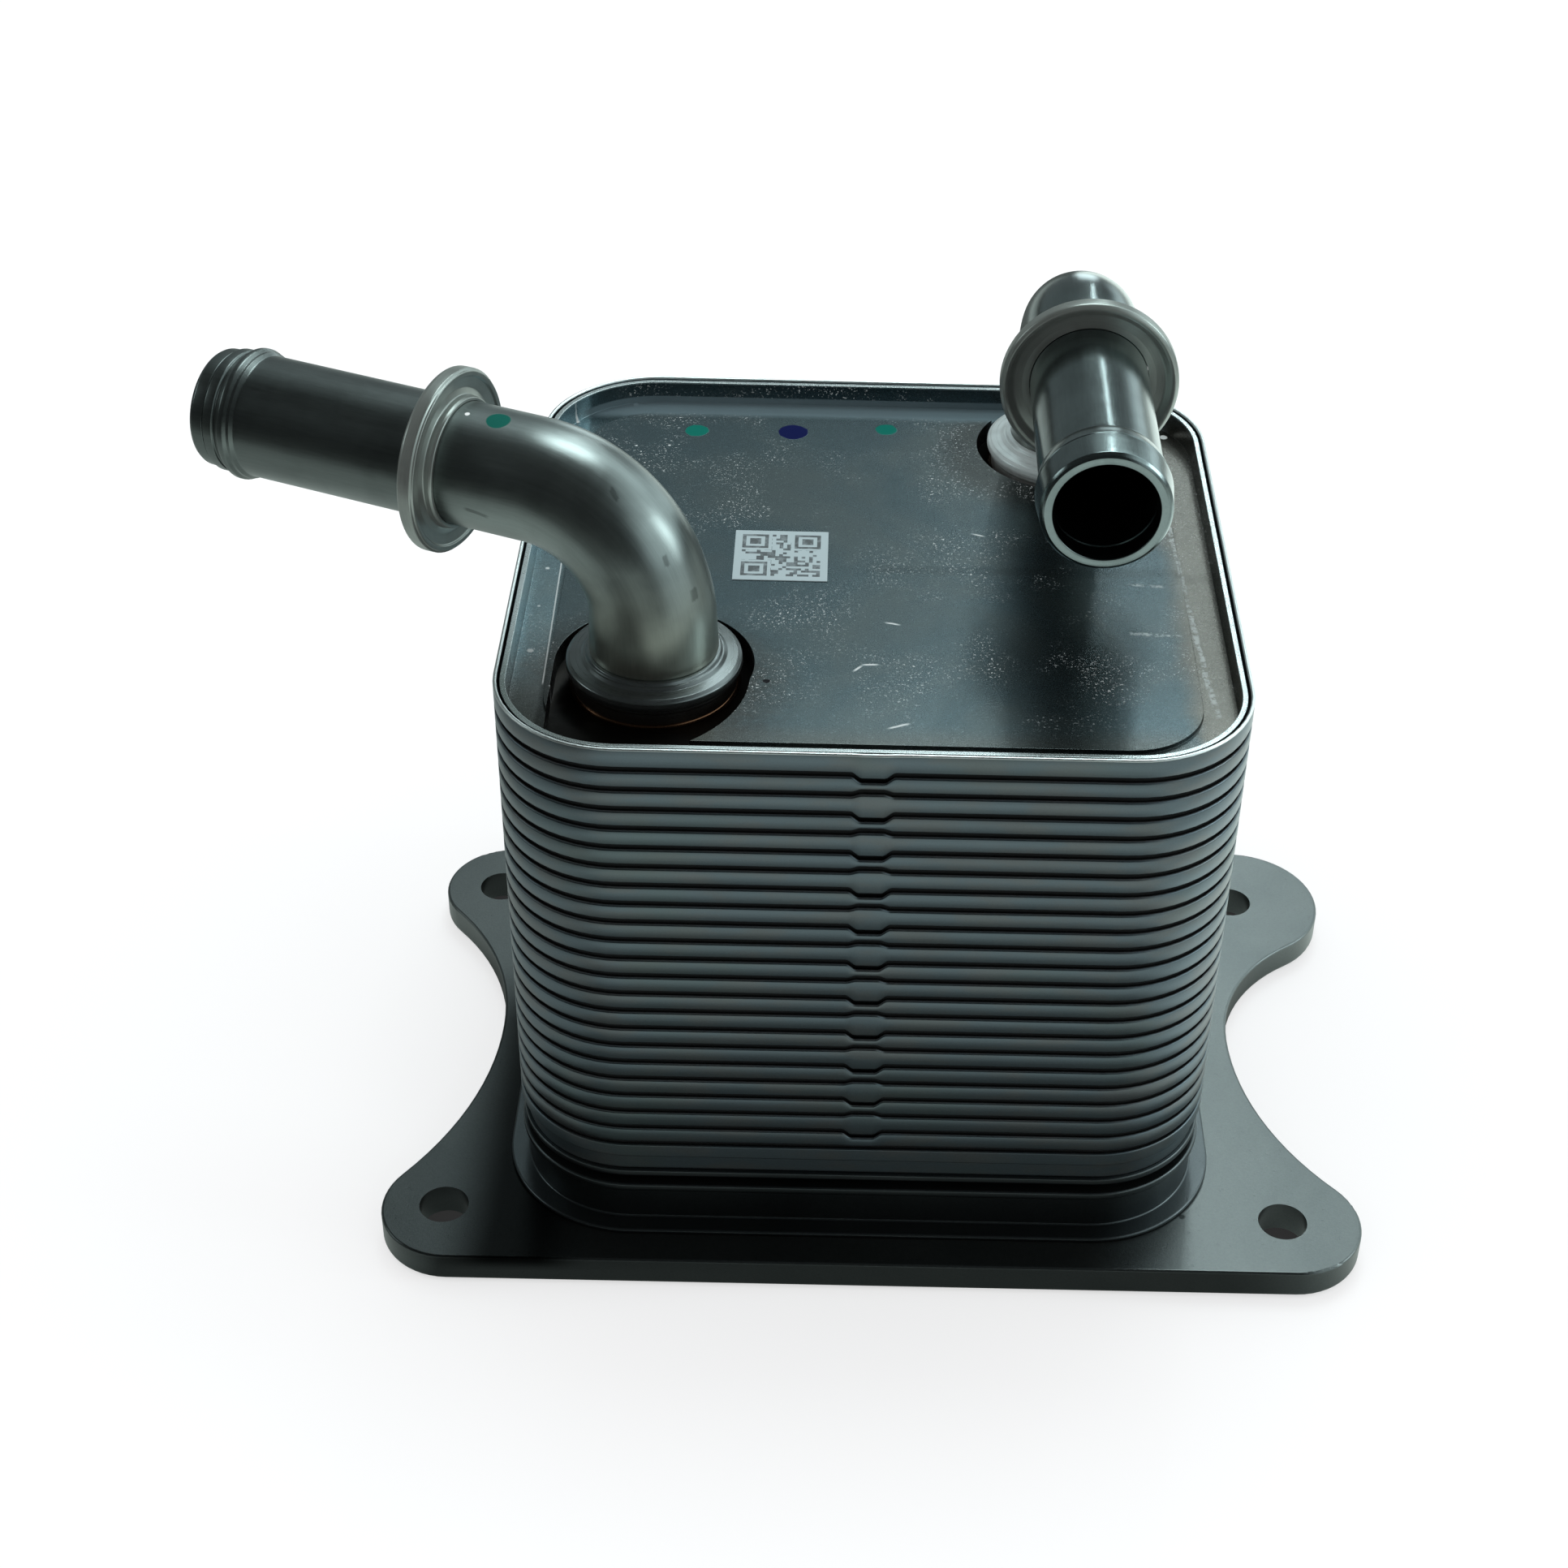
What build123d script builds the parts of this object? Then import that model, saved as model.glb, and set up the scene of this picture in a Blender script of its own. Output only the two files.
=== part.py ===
from build123d import *
from math import asin, atan2, cos, degrees, radians, sin, tan
import os

os.makedirs("parts", exist_ok=True)

# A brazed stack-plate oil cooler. Millimetres, +Z up, front towards -Y.
# The origin is on the underside of the base flange, in the middle of its four bolt holes.

# Base flange
flange_thickness = 4.8
bolt_margin_x = 11.1         # bolt holes outside the sides of the stack
bolt_inset_y = 12.7          # bolt pattern shorter than the stack, at each end
bolt_hole = 7.0
flange_top_edge = 0.4        # rounding of the outline, above and below
flange_bottom_edge = 1.0
ear_shift = 1.2              # the outline sits this far to the right of the bolt holes
ear_radius = 10.1
wide_ear_radius = 13.2       # the right rear ear is broader than the others
left_waist_margin = 7.0      # half the stack's width to the narrowest place
right_waist_margin = 7.2
waist_y = 2.6
rear_margin = 2.6            # flange left standing round the foot of the pan
rear_fillet = 4.4
oil_port = 12.0
seal_seat = 20.0             # counterbore for a seal ring round each oil port
seal_seat_depth = 1.8
seal_bore = 14.8
seal_height = 1.6
seal_clearance = 0.1

# Plate stack
stack_x = -0.7               # stack centre, from the middle of the bolt holes
stack_y = 9.8
stack_width = 97.8           # over the rims, left to right
stack_depth = 98.4           # over the rims, front to back
stack_corner = 16.5
plate_pitch = 3.04
plate_count = 21
sheet = 0.5
braze_gap = 0.05
rim_gap = 0.73               # open groove between a rim and the band of the next plate
nest_depth = 2.78            # how deep a floor lies below the rim that it is nested in
top_rim_rise = 3.53          # last core plate's rim to the top plate's rim

# Locating marks in the front of the rims, by turns a dip and a tongue
mark_width = 5.6
mark_flat = 2.8
dip_depth = 0.85
tongue_height = 0.45
mark_sheet = 0.4

# Base pan, support plate and end plate, between the flange and the core plates
pan_height = 7.6
pan_sheet = 1.2
pan_inset = 0.7              # pan wall inside the stack outline
pan_lip = 1.3
foot_sheet = 0.8
foot_reach = 2.1             # foot ring beyond the stack outline
neck_height = 1.4
neck_inset = 2.2
support_height = 1.1
support_inset = 0.3
end_floor = 2.4
end_step_height = 3.0
end_step_inset = 0.8

# Cover plate
cover_thickness = 2.3
cover_rim_drop = 0.25        # cover rim below the top plate's rim
cover_sheet = 0.7
field_rise = 0.6             # raised middle of the cover
field_inset = 6.3            # outside of the stack to the edge of the field
well_gap = 1.5               # well round each ferrule
left_front_radius = 18.4     # the left well also runs out to the front of the stack
left_front_x = -5.8          # from the port to the middle of that part
left_front_y = -3.2

# Coolant tubes
tube_radius = 8.05
tube_wall = 1.3
bend_radius = 16.0
tube_foot = 0.3              # tube end above the top plate's floor
stub_reach = 63.0            # riser axis to the open end
left_port_left = 20.1        # left edge of the stack to the left riser's axis
left_port_front = 24.0       # front edge of the stack to the left riser's axis
right_port_right = 20.5      # right edge of the stack to the right riser's axis
right_port_rear = 14.0       # rear edge of the stack to the right riser's axis
left_riser = 10.06           # straight length below the bend
right_riser = 12.06
left_heading = 158.0         # degrees about Z, from +X
right_heading = 270.0

# Hose end of each tube, from the tube outwards
bead_rise = 0.7              # outside the tube
bead_ramp = 1.2
bead_land = 1.8
ring_rise = 0.1
ring_length = 1.7
nose_drop = 0.35             # inside the tube's outer face
nose_length = 2.0
end_step = 0.3

# Stop collar on each tube
collar_width = 4.05          # outside the tube
collar_place = 26.8          # riser axis to the collar's flat face
collar_web = 1.0
collar_depth = 2.9
collar_dish_foot = 1.55      # flat floor of the dish outside the tube
collar_lip_wall = 0.8
collar_edge = 0.5
collar_neck = 1.2            # neck on the tube, towards the bend
collar_neck_wall = 0.55
collar_neck_spread = 1.65    # foot of the neck outside the tube
braze_clearance = 0.05

# Ferrule round the foot of each tube
ferrule_wall = 2.55
ferrule_body_height = 2.8
ferrule_lip_width = 1.0      # outside the body
ferrule_lip_height = 1.3
ferrule_shoulder_wall = 1.05
ferrule_shoulder_rise = 1.5

# Paper label on the cover
label_size = 13.1
label_thickness = 0.15
label_x = -13.7
label_y = 11.8

# Worked out from the sizes above
bolt_spacing_x = stack_width + 2 * bolt_margin_x
bolt_spacing_y = stack_depth - 2 * bolt_inset_y
waist_left = stack_width / 2 + left_waist_margin
waist_right = stack_width / 2 + right_waist_margin
flare = asin((sheet + braze_gap) / plate_pitch)
nest_inset = sheet + braze_gap
pan_top = flange_thickness + pan_height
neck_top = pan_top + neck_height
support_top = neck_top + support_height
end_rim = support_top + end_floor + nest_depth
core_rim = end_rim + plate_count * plate_pitch
top_floor = core_rim - nest_depth
top_rim = core_rim + top_rim_rise
seat_z = top_floor + sheet
cover_top = seat_z + cover_thickness
field_top = cover_top + field_rise
ear_x = bolt_spacing_x / 2
ear_y = bolt_spacing_y / 2
tube_foot_z = seat_z + tube_foot
tube_bore = tube_radius - tube_wall
bead_radius = tube_radius + bead_rise
ring_radius = tube_radius + ring_rise
nose_radius = tube_radius - nose_drop
collar_radius = tube_radius + collar_width
collar_lip = collar_radius - collar_lip_wall
collar_dish = tube_radius + collar_dish_foot
collar_neck_radius = tube_radius + collar_neck_wall
collar_neck_foot = tube_radius + collar_neck_spread
ferrule_body = tube_radius + ferrule_wall
ferrule_lip = ferrule_body + ferrule_lip_width
ferrule_shoulder = tube_radius + ferrule_shoulder_wall
well_radius = ferrule_lip + well_gap
left_axis_height = tube_foot_z + left_riser + bend_radius
right_axis_height = tube_foot_z + right_riser + bend_radius
left_port = (left_port_left - stack_width / 2, left_port_front - stack_depth / 2)
right_port = (stack_width / 2 - right_port_right, stack_depth / 2 - right_port_rear)
foot_outset = foot_reach + rear_margin
rear_edge = stack_y + stack_depth / 2 + foot_outset


def at_stack(height):
    return Plane((stack_x, stack_y, height))


def stack_outline(inset, mode=Mode.ADD):
    """Rounded outline of the stack, smaller all round by the inset."""
    return RectangleRounded(
        stack_width - 2 * inset, stack_depth - 2 * inset, stack_corner - inset, mode=mode
    )


def flared(rise):
    """How far a plate's wall leans outward over a rise."""
    return rise * tan(flare)


def port_point(port):
    return (stack_x + port[0], stack_y + port[1])


def waist_arc(ear, radius, waist, side):
    """Centre, radius and bearing to the ear of the arc from the waist that is tangent to an ear."""
    across = waist[0] - ear[0]
    along = waist[1] - ear[1]
    size = (across**2 + along**2 - radius**2) / (2 * (radius - side * across))
    centre = (waist[0] + side * size, waist[1])
    bearing = degrees(atan2(ear[1] - centre[1], ear[0] - centre[0])) % 360
    return centre, size, bearing


def pressed_dish(floor_z, band_z, rim_z, nest_rim, band_inset=0.0, floor_sheet=sheet, wall=sheet):
    """A tray whose flared wall nests below nest_rim and then steps out to an upright band."""
    skin = wall / cos(flare)
    foot_inset = nest_inset + flared(nest_rim - floor_z)
    web_top = band_z + wall
    with BuildPart() as dish:
        with BuildSketch(at_stack(floor_z)):
            stack_outline(foot_inset)
        extrude(amount=band_z - floor_z, taper=-degrees(flare))
        with BuildSketch(at_stack(band_z)):
            stack_outline(band_inset)
        extrude(amount=rim_z - band_z)
        with BuildSketch(at_stack(floor_z + floor_sheet)):
            stack_outline(foot_inset - flared(floor_sheet) + skin)
        extrude(amount=web_top - floor_z - floor_sheet, taper=-degrees(flare), mode=Mode.SUBTRACT)
        with BuildSketch(at_stack(web_top)):
            stack_outline(band_inset + wall)
        extrude(amount=rim_z - web_top, mode=Mode.SUBTRACT)
    return dish.part


# Base flange: four ears, hollowed sides, and a rear edge that follows the foot of the pan
front_right = (ear_shift + ear_x, -ear_y)
rear_right = (ear_shift + ear_x, ear_y)
rear_left = (ear_shift - ear_x, ear_y)
front_left = (ear_shift - ear_x, -ear_y)
right_waist = (waist_right, waist_y)
left_waist = (-waist_left, waist_y)
right_front = waist_arc(front_right, ear_radius, right_waist, 1)
right_rear = waist_arc(rear_right, wide_ear_radius, right_waist, 1)
left_rear = waist_arc(rear_left, ear_radius, left_waist, -1)
left_front = waist_arc(front_left, ear_radius, left_waist, -1)
front_edge = -ear_y - ear_radius
oil_points = [port_point((-port[0], port[1])) for port in (left_port, right_port)]

with BuildPart() as base_flange:
    with BuildSketch() as flange_plan:
        with BuildLine():
            Line((front_left[0], front_edge), (front_right[0], front_edge))
            CenterArc(front_right, ear_radius, -90, right_front[2] - 90)
            CenterArc(right_front[0], right_front[1], right_front[2], 180 - right_front[2])
            CenterArc(right_rear[0], right_rear[1], 180, right_rear[2] - 180)
            CenterArc(rear_right, wide_ear_radius, right_rear[2] - 180, 270 - right_rear[2])
            Line((rear_right[0], ear_y + wide_ear_radius), (rear_left[0], ear_y + ear_radius))
            CenterArc(rear_left, ear_radius, 90, 90 + left_rear[2])
            CenterArc(left_rear[0], left_rear[1], left_rear[2], -left_rear[2])
            CenterArc(left_front[0], left_front[1], 0, left_front[2] - 360)
            CenterArc(front_left, ear_radius, left_front[2] - 180, 450 - left_front[2])
        make_face()
        with Locations((stack_x, stack_y)):
            stack_outline(-foot_outset)
        inner_corners = flange_plan.vertices().filter_by(
            lambda corner: abs(corner.X - ear_shift) < ear_x - 1 and ear_y < corner.Y < rear_edge - 1
        )
        fillet(inner_corners, rear_fillet)
        with GridLocations(bolt_spacing_x, bolt_spacing_y, 2, 2):
            Circle(bolt_hole / 2, mode=Mode.SUBTRACT)
    extrude(amount=flange_thickness)
    fillet(base_flange.faces().sort_by(Axis.Z)[-1].outer_wire().edges(), flange_top_edge)
    fillet(base_flange.faces().sort_by(Axis.Z)[0].outer_wire().edges(), flange_bottom_edge)
    with BuildSketch():
        with Locations(*oil_points):
            Circle(oil_port / 2)
    extrude(amount=flange_thickness, mode=Mode.SUBTRACT)
    with BuildSketch():
        with Locations(*oil_points):
            Circle(seal_seat / 2)
    extrude(amount=seal_seat_depth, mode=Mode.SUBTRACT)
base_flange.part.label = "base_flange"

# Seal rings: one against the bottom of each seat
seal_rings = []
for oil_point in oil_points:
    with BuildPart() as seal_ring:
        with BuildSketch(Plane((*oil_point, seal_seat_depth))):
            Circle(seal_seat / 2 - seal_clearance)
            Circle(seal_bore / 2, mode=Mode.SUBTRACT)
        extrude(amount=-seal_height)
    seal_rings.append(seal_ring)
seal_rings[0].part.label = "seal_ring_front"
seal_rings[1].part.label = "seal_ring_rear"

# Base pan: an inverted pressing with a foot ring below and a narrower neck on top
with BuildPart() as base_pan:
    with BuildSketch(at_stack(flange_thickness)):
        stack_outline(-foot_reach)
    extrude(amount=foot_sheet)
    with BuildSketch(at_stack(flange_thickness)):
        stack_outline(pan_inset)
    extrude(amount=pan_height)
    with BuildSketch(at_stack(pan_top - pan_lip)):
        stack_outline(0)
    extrude(amount=pan_lip)
    with BuildSketch(at_stack(pan_top)):
        stack_outline(neck_inset)
    extrude(amount=neck_height)
    with BuildSketch(at_stack(flange_thickness)):
        stack_outline(pan_inset + pan_sheet)
    extrude(amount=pan_height - pan_sheet, mode=Mode.SUBTRACT)
base_pan.part.label = "base_pan"

# Support plate: the thin plate that the end plate is brazed on
with BuildPart() as support_plate:
    with BuildSketch(at_stack(neck_top)):
        stack_outline(support_inset)
    extrude(amount=support_height)
support_plate.part.label = "support_plate"

# End plate: a thick stepped plate with a flared pocket for the first core plate
with BuildPart() as end_plate:
    with BuildSketch(at_stack(support_top)):
        stack_outline(end_step_inset)
    extrude(amount=end_step_height)
    with BuildSketch(at_stack(support_top + end_step_height)):
        stack_outline(0)
    extrude(amount=end_rim - support_top - end_step_height)
    with BuildSketch(at_stack(support_top + end_floor)):
        stack_outline(sheet + flared(nest_depth))
    extrude(amount=nest_depth, taper=-degrees(flare), mode=Mode.SUBTRACT)
end_plate.part.label = "end_plate"


def front_at(height):
    """Upright plane on the front of the bands, looking forwards."""
    return Plane((stack_x, stack_y - stack_depth / 2, height), x_dir=(1, 0, 0), z_dir=(0, -1, 0))


def mark_outline(rise):
    """Outline of a locating mark, wide where it starts and narrow at its far side."""
    return Polygon(
        (-mark_width / 2, 0),
        (-mark_flat / 2, rise),
        (mark_flat / 2, rise),
        (mark_width / 2, 0),
        align=None,
    )


def core_plate(number):
    """One nested core plate: its rim has a mark, and its band's foot follows the mark below."""
    rim_z = end_rim + number * plate_pitch
    nest_rim = rim_z - plate_pitch
    band_z = nest_rim + rim_gap
    with BuildPart() as plate:
        add(pressed_dish(nest_rim - nest_depth, band_z, rim_z, nest_rim))
        if number % 2:
            with BuildSketch(front_at(rim_z)):
                mark_outline(-dip_depth)
            if number > 1:
                with BuildSketch(front_at(band_z)):
                    mark_outline(tongue_height)
            extrude(amount=-sheet, mode=Mode.SUBTRACT)
        else:
            with BuildSketch(front_at(rim_z)):
                mark_outline(tongue_height)
            with BuildSketch(front_at(band_z)):
                mark_outline(-dip_depth)
            extrude(amount=-mark_sheet)
    plate.part.label = f"core_plate_{number:02d}"
    return plate


core_plates = [core_plate(number) for number in range(1, plate_count + 1)]

# Top plate: the last dish, whose taller band also holds the cover
top_band = core_rim + rim_gap
with BuildPart() as top_plate:
    add(pressed_dish(top_floor, top_band, top_rim, core_rim))
    with BuildSketch(front_at(top_band)):
        mark_outline(-dip_depth)
    extrude(amount=-mark_sheet)
    with BuildSketch(at_stack(top_floor)):
        with Locations(left_port, right_port):
            Circle(tube_bore)
    extrude(amount=sheet, mode=Mode.SUBTRACT)
top_plate.part.label = "top_plate"

# Cover: a thick tray with a raised field, cut away round both ports
cover_rim = top_rim - cover_rim_drop
cover_bend = top_band + sheet
cover_nest = core_rim + plate_pitch
cover_inset = nest_inset + flared(cover_nest - cover_bend)
cover_floor_inset = nest_inset + flared(cover_nest - cover_top) + cover_sheet / cos(flare)
with BuildPart() as cover:
    with BuildSketch(at_stack(seat_z)):
        stack_outline(nest_inset + flared(cover_nest - seat_z))
    extrude(amount=cover_bend - seat_z, taper=-degrees(flare))
    with BuildSketch(at_stack(cover_bend)):
        stack_outline(cover_inset)
    extrude(amount=cover_rim - cover_bend)
    with BuildSketch(at_stack(cover_top)):
        stack_outline(cover_floor_inset)
    extrude(amount=cover_bend - cover_top, taper=-degrees(flare), mode=Mode.SUBTRACT)
    with BuildSketch(at_stack(cover_bend)):
        stack_outline(cover_floor_inset - flared(cover_bend - cover_top))
    extrude(amount=cover_rim - cover_bend, mode=Mode.SUBTRACT)
    with BuildSketch(at_stack(cover_top)):
        stack_outline(field_inset)
    extrude(amount=field_rise)
    with BuildSketch(at_stack(seat_z)) as wells:
        with Locations((left_port[0] + left_front_x, left_port[1] + left_front_y)):
            Circle(left_front_radius)
        with Locations(left_port):
            Rectangle(
                2 * well_radius,
                2 * left_front_radius,
                align=(Align.CENTER, Align.MAX),
                mode=Mode.INTERSECT,
            )
        with Locations(left_port, right_port):
            Circle(well_radius)
        stack_outline(cover_floor_inset, mode=Mode.INTERSECT)
    extrude(amount=cover_thickness + field_rise, mode=Mode.SUBTRACT)
cover.part.label = "cover"


def side_plane(port, heading, height):
    """Upright plane through a riser: its X runs along the stub and its Y is up."""
    x, y = port_point(port)
    along = (cos(radians(heading)), sin(radians(heading)), 0)
    return Plane((x, y, height), x_dir=along, z_dir=(along[1], -along[0], 0))


def bent_tube(port, axis_height, heading):
    """Riser, quarter bend and level stub with a beaded hose end."""
    side = side_plane(port, heading, axis_height)
    foot = Plane((side.origin.X, side.origin.Y, tube_foot_z))
    bend_foot = Plane((side.origin.X, side.origin.Y, axis_height - bend_radius))
    bend_end = Plane(side.from_local_coords((bend_radius, 0)), z_dir=side.x_dir)
    bend_axis = Axis(side.from_local_coords((bend_radius, -bend_radius)), side.z_dir)
    steps = bead_ramp + bead_land + ring_length + nose_length + 2 * end_step
    hose_end = stub_reach - steps
    bead_end = hose_end + bead_ramp + bead_land
    ring_end = bead_end + end_step + ring_length
    with BuildPart() as tube:
        with BuildSketch(foot):
            Circle(tube_radius)
            Circle(tube_bore, mode=Mode.SUBTRACT)
        extrude(amount=axis_height - bend_radius - tube_foot_z)
        with BuildSketch(bend_foot):
            Circle(tube_radius)
            Circle(tube_bore, mode=Mode.SUBTRACT)
        revolve(axis=bend_axis, revolution_arc=-90)
        with BuildSketch(bend_end):
            Circle(tube_radius)
            Circle(tube_bore, mode=Mode.SUBTRACT)
        extrude(amount=hose_end - bend_radius)
        with BuildSketch(side):
            with BuildLine():
                Polyline(
                    (hose_end, tube_bore),
                    (hose_end, tube_radius),
                    (hose_end + bead_ramp, bead_radius),
                    (bead_end, bead_radius),
                    (bead_end + end_step, ring_radius),
                    (ring_end, ring_radius),
                    (ring_end + end_step, nose_radius),
                    (stub_reach, nose_radius),
                    (stub_reach, tube_bore),
                    close=True,
                )
            make_face()
        revolve(axis=Axis(side.origin, side.x_dir))
    return tube


def stop_collar(port, axis_height, heading):
    """Dished ring on the stub: a neck and a flat face towards the bend, hollow towards the hose."""
    side = side_plane(port, heading, axis_height)
    bore = tube_radius + braze_clearance
    back = collar_place + collar_depth
    with BuildPart() as collar:
        with BuildSketch(side):
            with BuildLine():
                Polyline(
                    (collar_place - collar_neck, bore),
                    (collar_place - collar_neck, collar_neck_radius),
                    (collar_place, collar_neck_foot),
                    (collar_place, collar_radius - collar_edge),
                    (collar_place + collar_edge, collar_radius),
                    (back, collar_radius),
                    (back, collar_lip),
                    (collar_place + collar_web, collar_dish),
                    (collar_place + collar_web, bore),
                    close=True,
                )
            make_face()
        revolve(axis=Axis(side.origin, side.x_dir))
    return collar


def port_ferrule(port):
    """Stepped bush that joins a riser to the top plate."""
    x, y = port_point(port)
    bore = tube_radius + braze_clearance
    lip_foot = ferrule_body_height
    lip_top = lip_foot + ferrule_lip_height
    with BuildPart() as ferrule:
        with BuildSketch(Plane((x, y, seat_z), x_dir=(1, 0, 0), z_dir=(0, -1, 0))):
            with BuildLine():
                Polyline(
                    (bore, 0),
                    (ferrule_body, 0),
                    (ferrule_body, lip_foot),
                    (ferrule_lip, lip_foot),
                    (ferrule_lip, lip_top),
                    (ferrule_shoulder, lip_top + ferrule_shoulder_rise),
                    (bore, lip_top + ferrule_shoulder_rise),
                    close=True,
                )
            make_face()
        revolve(axis=Axis((x, y, 0), (0, 0, 1)))
    return ferrule


coolant_tube_left = bent_tube(left_port, left_axis_height, left_heading)
coolant_tube_left.part.label = "coolant_tube_left"
coolant_tube_right = bent_tube(right_port, right_axis_height, right_heading)
coolant_tube_right.part.label = "coolant_tube_right"
stop_collar_left = stop_collar(left_port, left_axis_height, left_heading)
stop_collar_left.part.label = "stop_collar_left"
stop_collar_right = stop_collar(right_port, right_axis_height, right_heading)
stop_collar_right.part.label = "stop_collar_right"
ferrule_left = port_ferrule(left_port)
ferrule_left.part.label = "ferrule_left"
ferrule_right = port_ferrule(right_port)
ferrule_right.part.label = "ferrule_right"

# Paper label stuck on the raised field
with BuildPart() as code_label:
    with BuildSketch(Plane((label_x, label_y, field_top))):
        Rectangle(label_size, label_size)
    extrude(amount=label_thickness)
code_label.part.label = "code_label"

pieces = [
    base_flange, *seal_rings, base_pan, support_plate, end_plate, *core_plates, top_plate, cover,
    coolant_tube_left, coolant_tube_right, stop_collar_left, stop_collar_right,
    ferrule_left, ferrule_right, code_label,
]
for piece in pieces:
    export_step(piece.part, f"parts/{piece.part.label}.step")
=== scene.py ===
from math import asin, cos, pi, radians, sin, tan

import bmesh
import bpy
from mathutils import Matrix, Vector


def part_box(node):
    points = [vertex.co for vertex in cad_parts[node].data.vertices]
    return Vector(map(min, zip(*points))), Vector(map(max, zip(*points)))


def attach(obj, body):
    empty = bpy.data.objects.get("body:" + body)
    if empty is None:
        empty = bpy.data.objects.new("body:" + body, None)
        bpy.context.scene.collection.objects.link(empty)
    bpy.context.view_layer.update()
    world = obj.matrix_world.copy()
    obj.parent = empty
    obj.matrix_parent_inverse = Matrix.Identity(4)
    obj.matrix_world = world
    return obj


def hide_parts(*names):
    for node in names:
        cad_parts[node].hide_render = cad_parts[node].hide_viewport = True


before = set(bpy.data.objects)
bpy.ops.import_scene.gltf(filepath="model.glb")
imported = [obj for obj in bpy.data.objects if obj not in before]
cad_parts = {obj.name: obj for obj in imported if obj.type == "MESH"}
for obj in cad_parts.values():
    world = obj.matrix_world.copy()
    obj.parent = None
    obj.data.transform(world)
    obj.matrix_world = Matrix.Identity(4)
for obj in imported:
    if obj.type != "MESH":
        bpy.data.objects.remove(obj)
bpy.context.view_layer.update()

# Sizes in metres, the same as the solids have
mm = 0.001
STACK_MIDDLE = Vector((-0.7 * mm, 9.8 * mm, 0.0))
STACK_WIDTH = 97.8 * mm
STACK_DEPTH = 98.4 * mm
STACK_CORNER = 16.5 * mm
PITCH = 3.04 * mm
PLATES = 21
SHEET = 0.5 * mm
BRAZE_GAP = 0.05 * mm
RIM_GAP = 0.73 * mm
NEST = 2.78 * mm
MARK = 2.8 * mm
MARK_FLAT = 1.4 * mm
DIP = -0.85 * mm
TONGUE = 0.45 * mm
FLARE = asin((SHEET + BRAZE_GAP) / PITCH)
FLOOR_INSET = SHEET + BRAZE_GAP + NEST * tan(FLARE)
END_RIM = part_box("end_plate")[1].z
CORE_RIM = END_RIM + PLATES * PITCH
TOP_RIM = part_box("top_plate")[1].z
TOP_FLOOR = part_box("top_plate")[0].z
COVER_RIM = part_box("cover")[1].z
SEAT = TOP_FLOOR + SHEET
LEFT_PORT = Vector((-29.5 * mm, -15.4 * mm, 0.0))
RIGHT_PORT = Vector((27.7 * mm, 45.0 * mm, 0.0))
TUBE_RADIUS = 8.05 * mm
TUBE_BORE = 6.75 * mm
BEND = 16.0 * mm
TUBE_FOOT = SEAT + 0.3 * mm
REACH = 63.0 * mm
LEFT_AXIS = 108.0 * mm
RIGHT_AXIS = 110.0 * mm
LEFT_HEADING = 158.0
RIGHT_HEADING = 270.0
SEAL_BORE = 14.8 * mm

# What the sheets and the moulding add to the solids
PAD_RISE = 0.1 * mm
UNEVENNESS = 0.1 * mm
PLATE_EDGE = 0.25 * mm
TOP_EDGE = 0.2 * mm
SEAL_EDGE = 0.4 * mm


class Tone:
    """A number, colour or vector in a node tree. Arithmetic on it adds the Math nodes."""

    def __init__(self, tree, socket=None):
        self.tree = tree
        self.socket = socket

    def node(self, kind, settings=None, values=None, out=0):
        """Adds any node: its settings first, then the values or links of its sockets."""
        made = self.tree.nodes.new(kind)
        for name, value in (settings or {}).items():
            if name == "items":
                for _ in range(len(made.index_switch_items), value):
                    made.index_switch_items.new()
            else:
                setattr(made, name, value)
        for name, value in (values or {}).items():
            if isinstance(value, Tone):
                self.tree.links.new(value.socket, made.inputs[name])
            else:
                made.inputs[name].default_value = value
        return Tone(self.tree, made.outputs[out] if made.outputs else None)

    def other(self, name):
        """Another output of the same node."""
        return Tone(self.tree, self.socket.node.outputs[name])

    def sum(self, operation, first, second):
        """One Math node on two values."""
        return self.node("ShaderNodeMath", {"operation": operation}, {0: first, 1: second})

    def __add__(self, value):
        return self.sum("ADD", self, value)

    def __radd__(self, value):
        return self.sum("ADD", value, self)

    def __sub__(self, value):
        return self.sum("SUBTRACT", self, value)

    def __rsub__(self, value):
        return self.sum("SUBTRACT", value, self)

    def __mul__(self, value):
        return self.sum("MULTIPLY", self, value)

    def __rmul__(self, value):
        return self.sum("MULTIPLY", value, self)

    def __truediv__(self, value):
        return self.sum("DIVIDE", self, value)

    def __gt__(self, value):
        return self.sum("GREATER_THAN", self, value)

    def __lt__(self, value):
        return self.sum("LESS_THAN", self, value)

    def __abs__(self):
        return self.sum("ABSOLUTE", self, 0.0)


def rise(value, low, high, bottom=0.0, top=1.0):
    """Goes softly from bottom to top while the value goes from low to high."""
    return value.node(
        "ShaderNodeMapRange",
        {"interpolation_type": "SMOOTHSTEP"},
        {"Value": value, "From Min": low, "From Max": high, "To Min": bottom, "To Max": top},
    )


def either(first, *others):
    """The largest of some values."""
    for value in others:
        first = first.sum("MAXIMUM", first, value)
    return first


def colour4(colour):
    """A written colour with its alpha. A Tone stays as it is."""
    return (*colour, 1.0) if isinstance(colour, tuple) and len(colour) == 3 else colour


def blend(start, first, second, amount, how="MIX"):
    """Mixes two colours by an amount."""
    return start.node(
        "ShaderNodeMix",
        {"data_type": "RGBA", "blend_type": how},
        {0: amount, 6: colour4(first), 7: colour4(second)},
        out=2,
    )


def point(start, x, y, z):
    """A vector from three numbers."""
    return start.node("ShaderNodeCombineXYZ", {}, {0: x, 1: y, 2: z})


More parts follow.
